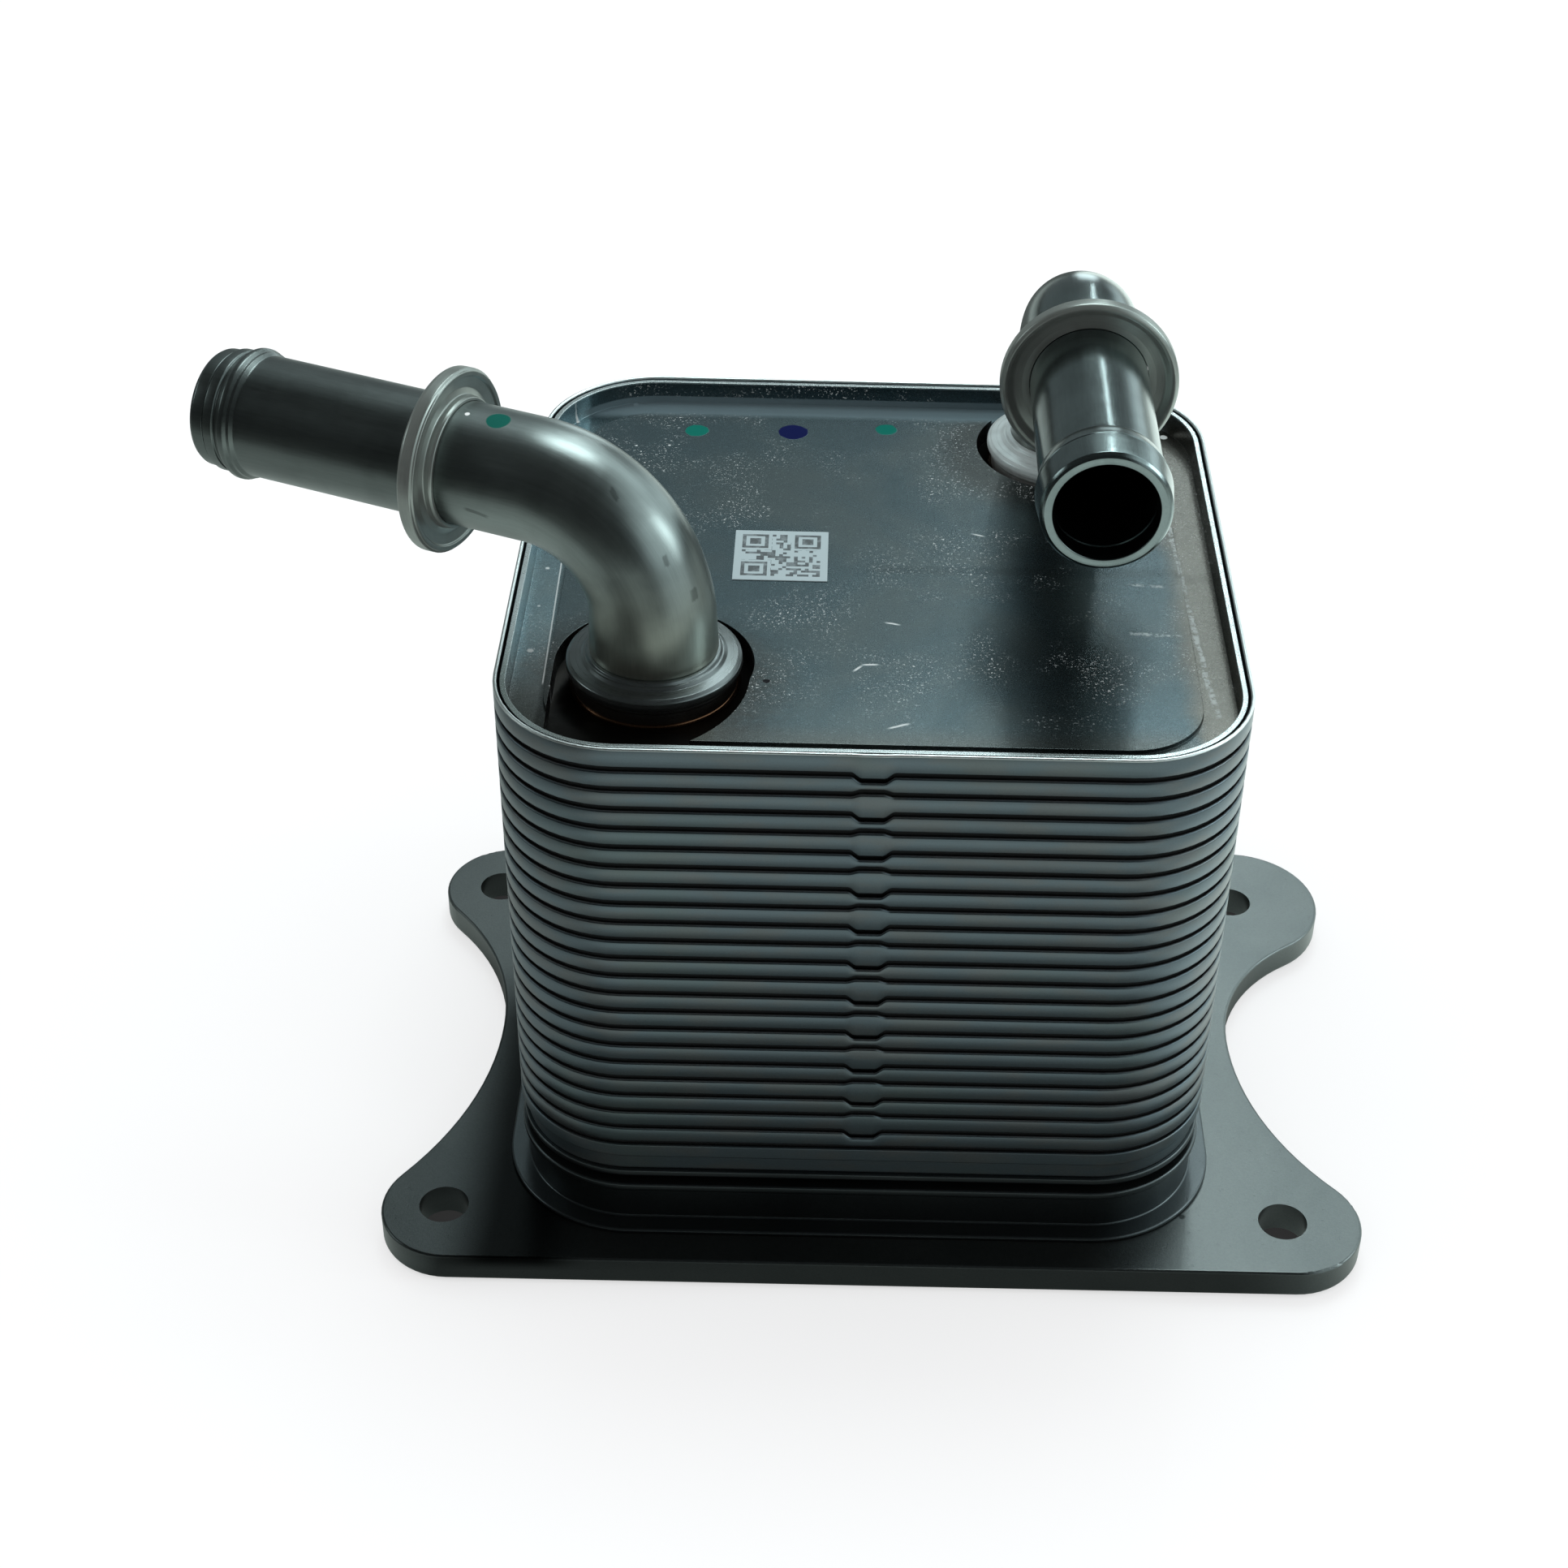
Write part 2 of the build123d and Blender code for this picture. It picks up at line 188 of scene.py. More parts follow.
def split(place):
    """The three numbers of a vector."""
    apart = place.node("ShaderNodeSeparateXYZ", {}, {0: place})
    return apart, apart.other("Y"), apart.other("Z")


def shaded(colour, level):
    """A colour made darker or lighter by a level."""
    return blend(level, colour, point(level, level, level, level), 1.0, "MULTIPLY")


def grains(place, scale, detail=2.0, roughness=0.5, distortion=0.0):
    """Noise from 0 to 1 at a number of grains per millimetre."""
    return place.node(
        "ShaderNodeTexNoise",
        {"noise_dimensions": "3D"},
        {
            "Vector": place,
            "Scale": scale,
            "Detail": detail,
            "Roughness": roughness,
            "Distortion": distortion,
        },
    )


def vector_sum(operation, place, second, out=0):
    """One Vector Math node on a place and a second vector."""
    return place.node("ShaderNodeVectorMath", {"operation": operation}, {0: place, 1: second}, out)


def stretched(place, x, y, z):
    """A place with each of its directions scaled."""
    return vector_sum("MULTIPLY", place, (x, y, z))


def scaled(place, factor):
    """A place with all its directions scaled alike."""
    return place.node("ShaderNodeVectorMath", {"operation": "SCALE"}, {0: place, "Scale": factor})


def own_place(start):
    """The object's own coordinates in millimetres."""
    return scaled(start.node("ShaderNodeTexCoord").other("Object"), 1000.0)


def distance(place, middle):
    """How far a place is from a point."""
    return vector_sum("DISTANCE", place, middle, "Value")


# Shapes


def settled(piece):
    """Turns what the piece's modifiers make into its plain mesh."""
    graph = bpy.context.evaluated_depsgraph_get()
    source = piece.evaluated_get(graph)
    mesh = bpy.data.meshes.new_from_object(source, preserve_all_data_layers=True, depsgraph=graph)
    piece.modifiers.clear()
    piece.data = mesh
    mesh.name = piece.name
    return piece


def new_piece(name, mesh):
    """An object at the origin with a mesh that holds its place."""
    piece = bpy.data.objects.new(name, mesh)
    bpy.context.scene.collection.objects.link(piece)
    return piece


def mesh_of(name, work):
    """A named mesh from a bmesh, which is freed."""
    mesh = bpy.data.meshes.new(name)
    work.to_mesh(mesh)
    work.free()
    return mesh


def placed(piece, slot, finish, *nodes):
    """Gives a finished piece its material and puts it in the frame for its nodes."""
    piece.data.materials.clear()
    piece.data.materials.append(finish)
    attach(piece, "root")
    if nodes:
        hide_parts(*nodes)


def dressed(node, edge, slot, finish, steps=2):
    """A merged copy of a node with its edges rounded, in place of it."""
    work = bmesh.new()
    work.from_mesh(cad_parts[node].data)
    bmesh.ops.remove_doubles(work, verts=work.verts, dist=1e-6)
    bmesh.ops.dissolve_limit(work, angle_limit=radians(0.4), verts=work.verts, edges=work.edges)
    mesh = mesh_of(node + "_shape", work)
    mesh.shade_smooth()
    piece = new_piece(node + "_shape", mesh)
    rounding = piece.modifiers.new("rounding", "BEVEL")
    rounding.width = edge
    rounding.segments = steps
    rounding.limit_method = "ANGLE"
    rounding.angle_limit = radians(35)
    rounding.use_clamp_overlap = True
    shading = piece.modifiers.new("shading", "WEIGHTED_NORMAL")
    shading.weight = 80
    placed(settled(piece), slot, finish, node)


def outline_path():
    """The stack's rounded outline as a loop of edges, with close points round the front marks."""
    half_x = STACK_WIDTH / 2 - STACK_CORNER
    half_y = STACK_DEPTH / 2 - STACK_CORNER
    near = [1.15, 1.3, 1.45, 1.7, 2.05, 2.4, 2.65, 2.8, 3.0, 5.0, 11.0, 18.0, 25.0]
    front = [-place * mm for place in reversed(near)] + [place * mm for place in near]
    loop = [(place, -STACK_DEPTH / 2) for place in front]
    bend_steps, side_steps = 14, 8
    middles = [(half_x, -half_y), (half_x, half_y), (-half_x, half_y), (-half_x, -half_y)]
    for turn, (x, y) in enumerate(middles):
        for step in range(bend_steps + 1):
            angle = radians(90 * (turn - 1) + 90 * step / bend_steps)
            loop.append((x + STACK_CORNER * cos(angle), y + STACK_CORNER * sin(angle)))
        if turn < 3:
            first_x, first_y = loop[-1]
            next_x, next_y = middles[turn + 1]
            angle = radians(90 * turn)
            run_x = next_x + STACK_CORNER * cos(angle) - first_x
            run_y = next_y + STACK_CORNER * sin(angle) - first_y
            for step in range(1, side_steps):
                part = step / side_steps
                loop.append((first_x + run_x * part, first_y + run_y * part))
    mesh = bpy.data.meshes.new("outline")
    mesh.from_pydata(
        [(STACK_MIDDLE.x + x, STACK_MIDDLE.y + y, 0.0) for x, y in loop],
        [(number, (number + 1) % len(loop)) for number in range(len(loop))],
        [],
    )
    return mesh


PLATE_SIZES = (
    "Floor height", "Band foot", "Rim height", "Floor inset", "Lean", "Sheet",
    "Edge radius", "Foot mark", "Rim mark", "Covered", "Unevenness", "Seed",
)


def plate_section(start, size):
    """A plate's section as a curve: floor, flared wall, band and rim, down the outside and back.

    The stored attribute is 1 where a face lies deep in a groove or inside the next plate; the finish paints
    shade there.
    """
    floor, foot, rim = size["Floor height"], size["Band foot"], size["Rim height"]
    inset, lean, sheet = size["Floor inset"], size["Lean"], size["Sheet"]
    skin = sheet * (1 / cos(FLARE))
    hem = inset + 3 * mm
    section = [
        (hem, floor),
        (inset, floor),
        (inset - (foot - floor) * lean, foot),
        (0.0, foot),
        (0.0, rim),
        (sheet, rim),
        (sheet, foot + sheet),
        (inset - (foot + sheet - floor) * lean + skin, foot + sheet),
        (inset - sheet * lean + skin, floor + sheet),
        (hem, floor + sheet),
    ]
    corners = {0: start.node("GeometryNodeInputIndex")}
    for number, (across, height) in enumerate(section):
        corners[number + 1] = point(start, 0.0 - across, 0.0 - height, 0.0)
    count = len(section)
    places = start.node("GeometryNodeIndexSwitch", {"data_type": "VECTOR", "items": count}, corners)
    row = start.node("GeometryNodeMeshLine", {"mode": "OFFSET"}, {"Count": count, "Offset": (0, 0, 0)})
    row = start.node("GeometryNodeSetPosition", {}, {"Geometry": row, "Position": places})
    row = start.node("GeometryNodeMeshToCurve", {}, {"Mesh": row})
    row = start.node(
        "GeometryNodeFilletCurve",
        {"mode": "POLY"},
        {"Curve": row, "Count": 2, "Radius": size["Edge radius"], "Limit Radius": True},
    )
    x, y, _ = split(start.node("GeometryNodeInputPosition"))
    across, height = 0.0 - x, 0.0 - y
    # Where the finish paints shade: faces below the band in the groove, faces inside the next plate, and
    # the rim's inner top that the next plate covers.
    outside = either(
        across < inset - (height - floor) * lean + sheet * 0.5, height < floor + sheet * 0.5
    )
    below = outside * rise(across, 0.05 * mm, 0.16 * mm) * (height < foot + 0.1 * mm)
    above = rise(across, 0.1 * mm, 0.2 * mm) * rise(height, rim - 0.2 * mm, rim - 0.12 * mm)
    return start.node(
        "GeometryNodeStoreNamedAttribute",
        {"data_type": "FLOAT", "domain": "POINT"},
        {"Geometry": row, "Name": "groove_shade", "Value": either(below, above * size["Covered"])},
    )


def swept(start, row, path):
    """Carries the section round the path, and closes the floor's two faces with lids."""
    shell = start.node("GeometryNodeCurveToMesh", {}, {"Curve": path, "Profile Curve": row})
    shell = start.node("GeometryNodeFlipFaces", {}, {"Mesh": shell})
    counted = {"component": "CURVE"}
    row_count = start.node("GeometryNodeAttributeDomainSize", counted, {"Geometry": row})
    path_count = start.node("GeometryNodeAttributeDomainSize", counted, {"Geometry": path})
    number = start.node("GeometryNodeInputIndex")
    lids = []
    for last in (0.0, 1.0):
        edge_point = start.node(
            "GeometryNodeSampleIndex",
            {"data_type": "FLOAT_VECTOR", "domain": "POINT"},
            {
                "Geometry": shell,
                "Value": start.node("GeometryNodeInputPosition"),
                "Index": number * row_count + (row_count - 1.0) * last,
            },
        )
        lid = start.node("GeometryNodeMeshCircle", {"fill_type": "NGON"}, {"Vertices": path_count})
        lids.append(start.node("GeometryNodeSetPosition", {}, {"Geometry": lid, "Position": edge_point}))
    lids[0] = start.node("GeometryNodeFlipFaces", {}, {"Mesh": lids[0]})
    plate = start.node("GeometryNodeJoinGeometry")
    for part in (shell, *lids):
        start.tree.links.new(part.socket, plate.socket.node.inputs[0])
    return start.node("GeometryNodeMergeByDistance", {}, {"Geometry": plate, "Distance": 0.004 * mm})


def marked(start, plate, size):
    """Pushes the dip and the tongue into the front of the band, and makes the sheet uneven."""
    foot, rim, sheet = size["Band foot"], size["Rim height"], size["Sheet"]
    x, y, z = split(start.node("GeometryNodeInputPosition"))
    off_middle = abs(x - STACK_MIDDLE.x)
    front = y < STACK_MIDDLE.y - STACK_DEPTH / 2 + 1.2 * mm
    on_band = rise(z, foot - 0.35 * mm, foot - 0.02 * mm)
    up = rise(z, foot + sheet, rim)
    mark = rise(off_middle, MARK_FLAT, MARK, 1.0, 0.0) * front * on_band
    push = mark * (size["Foot mark"] * (1.0 - up) + size["Rim mark"] * up)
    drift = start.node(
        "ShaderNodeTexNoise",
        {"noise_dimensions": "4D"},
        {
            "Vector": start.node("GeometryNodeInputPosition"),
            "W": size["Seed"],
            "Scale": 60.0,
            "Detail": 2.0,
        },
    )
    push = push + (drift - 0.5) * size["Unevenness"] * on_band
    bulge = -PAD_RISE * rise(off_middle, MARK_FLAT, MARK * 1.1, 1.0, 0.0) * front * on_band
    moved = {"Geometry": plate, "Offset": point(start, 0.0, bulge, push)}
    return start.node("GeometryNodeSetPosition", {}, moved)


def plate_tree():
    """Presses a plate: its section goes round the outline, and its marks are pushed in."""
    tree = bpy.data.node_groups.new("plate pressing", "GeometryNodeTree")
    sockets = tree.interface
    sockets.new_socket("Outline", in_out="INPUT", socket_type="NodeSocketGeometry")
    for name in PLATE_SIZES:
        sockets.new_socket(name, in_out="INPUT", socket_type="NodeSocketFloat")
    sockets.new_socket("Finish", in_out="INPUT", socket_type="NodeSocketMaterial")
    sockets.new_socket("Plate", in_out="OUTPUT", socket_type="NodeSocketGeometry")
    start = Tone(tree)
    given = start.node("NodeGroupInput")
    size = {name: given.other(name) for name in PLATE_SIZES}
    row = plate_section(start, size)
    path = start.node("GeometryNodeMeshToCurve", {}, {"Mesh": given})
    path = start.node("GeometryNodeSetCurveNormal", {"mode": "Z_UP"}, {"Curve": path})
    plate = marked(start, swept(start, row, path), size)
    plate = start.node("GeometryNodeSetShadeSmooth", {}, {"Geometry": plate, "Shade Smooth": True})
    plate = start.node("GeometryNodeRealizeInstances", {}, {"Geometry": plate})
    coat = {"Geometry": plate, "Material": given.other("Finish")}
    plate = start.node("GeometryNodeSetMaterial", {}, coat)
    start.node("NodeGroupOutput", {}, {0: plate})
    return tree


def pressed(node, tree, outline, finish, sizes):
    """Runs the pressing tree with a plate's own sizes."""
    piece = new_piece(node + "_pressed", outline.copy())
    press = piece.modifiers.new("pressing", "NODES")
    press.node_group = tree
    for socket in tree.interface.items_tree:
        if socket.in_out == "INPUT" and socket.name in sizes:
            press[socket.identifier] = sizes[socket.name]
        elif socket.name == "Finish":
            press[socket.identifier] = finish
    return settled(piece)


def drilled(piece, ports):
    """Cuts a round hole through a plate's floor at each port."""
    drill = bmesh.new()
    for port in ports:
        bmesh.ops.create_cone(
            drill, cap_ends=True, segments=64, radius1=TUBE_BORE, radius2=TUBE_BORE, depth=4 * mm,
            matrix=Matrix.Translation((port.x, port.y, TOP_FLOOR)),
        )
    tool = new_piece("drill", mesh_of("drill", drill))
    cut = piece.modifiers.new("ports", "BOOLEAN")
    cut.operation = "DIFFERENCE"
    cut.solver = "EXACT"
    cut.object = tool
    settled(piece)
    bpy.data.objects.remove(tool)
    return piece


def sized(corners):
    """Corners written in millimetres, in metres."""
    return [tuple(value * mm for value in corner) for corner in corners]


def softened(corners, steps=3):
    """A closed outline of (x, y, rounding) corners, as close points."""
    soft = []
    for number, (x, y, size) in enumerate(corners):
        here = Vector((x, y))
        back = Vector(corners[number - 1][:2]) - here
        ahead = Vector(corners[(number + 1) % len(corners)][:2]) - here
        opening = back.angle(ahead)
        if size <= 0 or opening > radians(176):
            soft.append(tuple(here))
            continue
        cut = min(size / tan(opening / 2), back.length * 0.48, ahead.length * 0.48)
        first = here + back.normalized() * cut
        last = here + ahead.normalized() * cut
        for step in range(steps + 1):
            part = step / steps
            bent = first * (1 - part) ** 2 + here * 2 * part * (1 - part) + last * part**2
            soft.append(tuple(bent))
    return soft


def divided(outline, step):
    """A closed outline whose long runs are cut into short ones."""
    fine = []
    for number, corner in enumerate(outline):
        start = Vector(corner)
        run = Vector(outline[(number + 1) % len(outline)]) - start
        parts = max(1, round(run.length / step))
        fine.extend(tuple(start + run * (part / parts)) for part in range(parts))
    return fine


def carried(name, outline, place, ringed=False, wobble=0.0):
    """Turns an outline of (radius, distance) points about a path, straight or bent.

    The attribute "grain" is the place that the finish's fine lines read. They run round the
    piece if it is ringed, and otherwise along it.
    """
    sides, streak = 80, 0.05
    work = bmesh.new()
    grain = []
    rings = []
    for radius, along in outline:
        middle, out, side = place(along)
        ring = []
        for number in range(sides):
            angle = 2 * pi * number / sides
            swell = wobble * (sin(3 * angle + 1) + 0.6 * sin(7 * angle) + 0.4 * sin(11 * angle + 2))
            spoke = out * cos(angle) + side * sin(angle)
            ring.append(work.verts.new(middle + spoke * (radius + swell)))
            if ringed:
                grain.append((radius, along, streak * radius * cos(angle)))
            else:
                grain.append((radius * cos(angle), radius * sin(angle), streak * along))
        rings.append(ring)
    for number, ring in enumerate(rings):
        following = rings[(number + 1) % len(rings)]
        for first in range(sides):
            second = (first + 1) % sides
            work.faces.new((ring[first], ring[second], following[second], following[first]))
    bmesh.ops.recalc_face_normals(work, faces=work.faces)
    mesh = mesh_of(name, work)
    mesh.shade_smooth()
    lines = mesh.attributes.new("grain", "FLOAT_VECTOR", "POINT")
    lines.data.foreach_set("vector", [value for vector in grain for value in vector])
    return new_piece(name, mesh)


def upright(foot, height):
    """A straight path up from a height over a point."""

    def place(along):
        return Vector((foot.x, foot.y, height + along)), Vector((1, 0, 0)), Vector((0, 1, 0))

    return place


def level_courses(heading):
    """The direction of a level stub, and the one to its right."""
    course = Vector((cos(radians(heading)), sin(radians(heading)), 0))
    return course, Vector((course.y, -course.x, 0))


def tube_path(port, heading, height):
    """Up the riser, round the bend and out along the stub, and the length up to the riser's axis."""
    course, side = level_courses(heading)
    up = Vector((0, 0, 1))
    riser = height - BEND - TUBE_FOOT
    arc = BEND * pi / 2

    def place(along):
        if along < riser:
            turn, run = 0.0, along - riser
        elif along < riser + arc:
            turn, run = (along - riser) / BEND, 0.0
        else:
            turn, run = pi / 2, along - riser - arc
        ahead = up * cos(turn) + course * sin(turn)
        out = up * sin(turn) - course * cos(turn)
        bend_middle = Vector((port.x, port.y, height - BEND)) + course * BEND
        return bend_middle + out * BEND + ahead * run, out, side

    return place, riser + arc - BEND


def stub_path(port, heading, height):
    """A straight path out along the stub, measured from the riser's axis."""
    course, side = level_courses(heading)

    def place(along):
        return Vector((port.x, port.y, height)) + course * along, Vector((0, 0, 1)), side

    return place


# Finishes


def finish_of(name, metallic=1.0, specular=0.5):
    """A new material, its shader and the object's own coordinates in millimetres."""
    material = bpy.data.materials.new(name)
    material.use_nodes = True
    start = Tone(material.node_tree)
    shader = material.node_tree.nodes["Principled BSDF"]
    shader.inputs["Metallic"].default_value = metallic
    shader.inputs["Specular IOR Level"].default_value = specular
    return material, shader, own_place(start)


def applied(shader, tones):
    """Links each tone to the shader's socket of that name."""
    for name, tone in tones.items():
        tone.tree.links.new(tone.socket, shader.inputs[name])


def bumped(height, depth):
    """A normal from a height pattern, whose full range is a depth in millimetres."""
    return height.node("ShaderNodeBump", {}, {"Strength": 1.0, "Distance": depth * mm, "Height": height})


def attribute(place, name, kind="Fac"):
    """An attribute of the mesh, as a number or a vector."""
    return place.node("ShaderNodeAttribute", {"attribute_name": name}, {}).other(kind)


def spot(place, x, y, radius, ragged=0.35, soft=0.25):
    """A patch with an uneven edge round a point seen from above."""
    away = distance(stretched(place, 1, 1, 0), (x, y, 0))
    edge = away + (grains(place, 0.9) - 0.5) * (2 * ragged)
    return rise(edge, radius - soft, radius + soft, 1.0, 0.0)


def line_mark(place, start, end, width, wander=0.8):
    """A thin uneven line between two points seen from above."""
    first = Vector((*start, 0))
    run = Vector((*end, 0)) - first
    course = run.normalized()
    away = vector_sum("SUBTRACT", stretched(place, 1, 1, 0), first)
    along = vector_sum("DOT_PRODUCT", away, course, "Value")
    side = vector_sum("DOT_PRODUCT", away, (-course.y, course.x, 0), "Value")
    wave = (grains(place, 0.35) - 0.5) * wander
    inside = rise(along, 0.0, 1.0) * rise(along, run.length - 1.0, run.length, 1.0, 0.0)
    return rise(abs(side + wave), width * 0.4, width, 1.0, 0.0) * inside


def plate_finish(name, dark_wells_and_bright_rim):
    """Furnace-dulled steel plates: a tone for each band, faint patches, and painted shade that blackens the
    grooves. On the top plate, painted shade darkens the wells' floor, and wear and a painted highlight
    lighten the rim.
    """
    material, shader, place = finish_of(name)
    _, _, height = split(place)
    layer = place.sum("FLOOR", (height - END_RIM / mm) / (PITCH / mm), 0.0)
    band = place.node("ShaderNodeTexWhiteNoise", {"noise_dimensions": "1D"}, {"W": layer})
    cloud = grains(place, 0.05, 3, 0.55, 0.4)
    patch = grains(stretched(place, 1, 1, 2.4), 0.12, 3, 0.55)
    fine = grains(place, 4.5, 2, 0.6)
    streak = grains(stretched(place, 0.12, 0.12, 3.0), 1.6, 3, 0.6)
    colour = blend(place, (0.13, 0.16, 0.179), (0.148, 0.16, 0.166), rise(patch, 0.4, 0.66))
    colour = blend(place, colour, (0.118, 0.152, 0.15), rise(cloud, 0.5, 0.72) * 0.5)
    groove_shade = attribute(place, "groove_shade")
    level = 0.8 + band * 0.08 + fine * 0.22 + streak * 0.08 + (cloud - 0.5) * 0.2
    # Painted shade: grooves and covered faces are made almost black.
    level = level * (1.0 - groove_shade * 0.96)
    # On the top plate, painted shade makes the wells' floor near black, and the rim is lightened by wear
    # and a painted highlight.
    if dark_wells_and_bright_rim:
        painted_well_shade = rise(height, SEAT / mm + 0.1, SEAT / mm + 0.6, 1.0, 0.0)
        colour = blend(place, colour, (0.012, 0.009, 0.007), painted_well_shade * 0.97)
        # Wear and a painted highlight along the rim's top.
        worn = rise(height, TOP_RIM / mm - 0.3, TOP_RIM / mm - 0.16)
        colour = blend(place, colour, (0.86, 0.9, 0.89), worn)
    tones = {
        "Base Color": shaded(colour, level),
        "Roughness": 0.3 + patch * 0.06 + fine * 0.08 + groove_shade * 0.5,
        "Normal": bumped(fine * 0.5 + streak * 0.5, 0.01),
        "Metallic": 1.0 - groove_shade * 0.7,
    }
    applied(shader, tones)
    return material


def flange_finish(name, light, dark, dirt=()):
    """Thick matt steel with a blotchy, finely pitted skin.

    The flange itself also has a painted shadow of the stack in a strip at its left, painted shade at the
    front left with painted light toward the back, and small dirt spots.
    """
    material, shader, place = finish_of(name)
    cloud = grains(place, 0.03, 4, 0.6, 0.5)
    fine = grains(place, 3.2, 3, 0.65)
    pits = rise(grains(place, 1.2, 2, 0.6), 0.66, 0.74)
    colour = blend(place, dark, light, rise(cloud, 0.3, 0.7))
    level = 0.84 + fine * 0.32 - pits * 0.12
    if dirt:
        x, depth, height = split(place)
        across = x + (cloud - 0.5) * 3.0
        upper = rise(height, 2.0, 4.4)
        # Painted shadow of the stack on the flange's upper face, in a strip at its left.
        painted_stack_shadow = rise(across, -62.0, -52.0) * rise(across, -46.0, -38.0, 1.0, 0.0) * upper
        level = level * (1.0 - painted_stack_shadow * rise(depth, 2.0, 20.0, 1.0, 0.0) * 0.9)
        # Painted shade at the front left, and painted light toward the back.
        shade = rise(across, -50.0, -10.0, 1.0, 0.0) * rise(depth, -30.0, 0.0, 1.0, 0.0)
        level = level * (1.0 - shade * upper * 0.22 + rise(depth, -10.0, 25.0) * 0.16)
        for spot_x, spot_y, radius in dirt:
            level = level * (1.0 - spot(place, spot_x, spot_y, radius, 0.3, 0.15) * upper * 0.7)
    tones = {
        "Base Color": shaded(colour, level),
        "Roughness": 0.24 + cloud * 0.06 + fine * 0.06,
        "Normal": bumped(fine - pits * 0.6, 0.012),
    }
    applied(shader, tones)
    return material


# Places on the cover, in millimetres: lines by their ends, spots by their middle and radius
# A pale line along the field's left edge, a painted highlight.
FIELD_EDGE_HIGHLIGHT = ((-44.15, 12.0), (-43.7, -20.7))
RESIDUE = (
    ((41.3, 24.0), (42.2, 6.0)),
    ((42.0, 7.0), (43.6, -25.0)),
    ((33.0, -6.0), (41.0, -6.6)),
    ((34.0, 6.5), (40.0, 5.8)),
)
SCRATCHES = (
    ((-3.6, -16.9), (-2.0, -15.0)),
    ((-2.6, -15.1), (0.2, -14.9)),
    ((0.8, -29.6), (4.2, -28.2)),
    ((12.8, 19.1), (15.2, 18.2)),
    ((0.5, -4.6), (3.1, -5.3)),
)
WHITE_SPECKS_AND_GLINT = (
    # The first is a painted glint on a small dimple; the rest are pale specks.
    (-46.1, -12.5, 0.42),
    (-45.9, 8.2, 0.3),
    (-46.1, -1.5, 0.2),
    (-42.5, -21.5, 0.22),
    (-45.5, 50.2, 0.3),
    (-37.2, 56.2, 0.32),
    (-31.2, 42.6, 0.22),
    (-36.1, 42.3, 0.18),
    (43.0, 49.6, 0.6),
)
GREEN = (0.004, 0.12, 0.092)
NAVY = (0.004, 0.006, 0.05)
BLACK = (0.01, 0.01, 0.012)
PAINT_DOTS = (
    (-27.4, 47.3, 1.75, GREEN),
    (-12.9, 47.5, 2.2, NAVY),
    (1.05, 48.9, 1.6, GREEN),
    (-14.7, -19.4, 0.5, BLACK),
)


def cover_shadows_and_port_darkening(place, across, depth, cloud):
    """Painted shadow round the left port and in the left front corner, and a darker patch round the right
    port.
    """
    left_port_shadow = spot(place, -31.0, -22.0, 17.0, 3.0, 6.0)
    right_port = spot(place, 25.0, 42.0, 15.5, 2.0, 3.0) * 0.7
    # Painted shadow in the left front corner.
    front = rise(depth + (cloud - 0.5) * 6.0, -24.0, -9.0, 1.0, 0.0)
    return either(left_port_shadow, right_port, front * rise(across, -41.0, -36.0, 1.0, 0.0))


def cover_level(across, depth, cloud, fine, speck):
    """How light the cover's steel is: speckled, with a pale left strip, painted shade under the right tube
    and painted light toward the front.
    """
    level = 0.6 + fine * 0.66 + speck * 0.55
    outer = rise(across + (cloud - 0.5) * 1.0, -44.2, -43.4, 1.0, 0.0)
    painted_tube_shade = rise(across, 18.0, 28.0) * rise(across, 40.0, 43.0, 1.0, 0.0)
    # Painted shade under the right tube, where its dark reflection and shadow fall, and painted light
    # toward the front.
    level = level * (1.0 + outer * 1.2 - painted_tube_shade * 0.28 + rise(depth, -33.0, -12.0, 0.22, 0.0))
    strip = rise(abs(depth - 9.0 + (cloud - 0.5) * 3.0), 0.4, 1.6, 1.0, 0.0) * rise(across, -4.0, 2.0)
    return level * (1.0 - strip * 0.16)


def cover_marks(place, depth):
    """The pale marks on the cover: lines, scratches, specks and dust, with a painted highlight along the
    field's left edge and a painted glint on a dimple.
    """
    broken = rise(grains(place, 1.1, 2, 0.7), 0.42, 0.62)
    marks = [line_mark(place, *FIELD_EDGE_HIGHLIGHT, 0.13, 0.06)]
    marks += [line_mark(place, start, end, 0.5) * broken * 0.6 for start, end in RESIDUE]
    marks += [line_mark(place, start, end, 0.24, 0.3) for start, end in SCRATCHES]
    marks += [spot(place, x, y, radius, 0.12, 0.1) for x, y, radius in WHITE_SPECKS_AND_GLINT]
    dusty = rise(grains(place, 0.09), 0.42, 0.62) * rise(depth, -34.0, -20.0)
    return either(*marks, rise(grains(place, 2.8, 2, 0.9), 0.62, 0.66) * dusty)


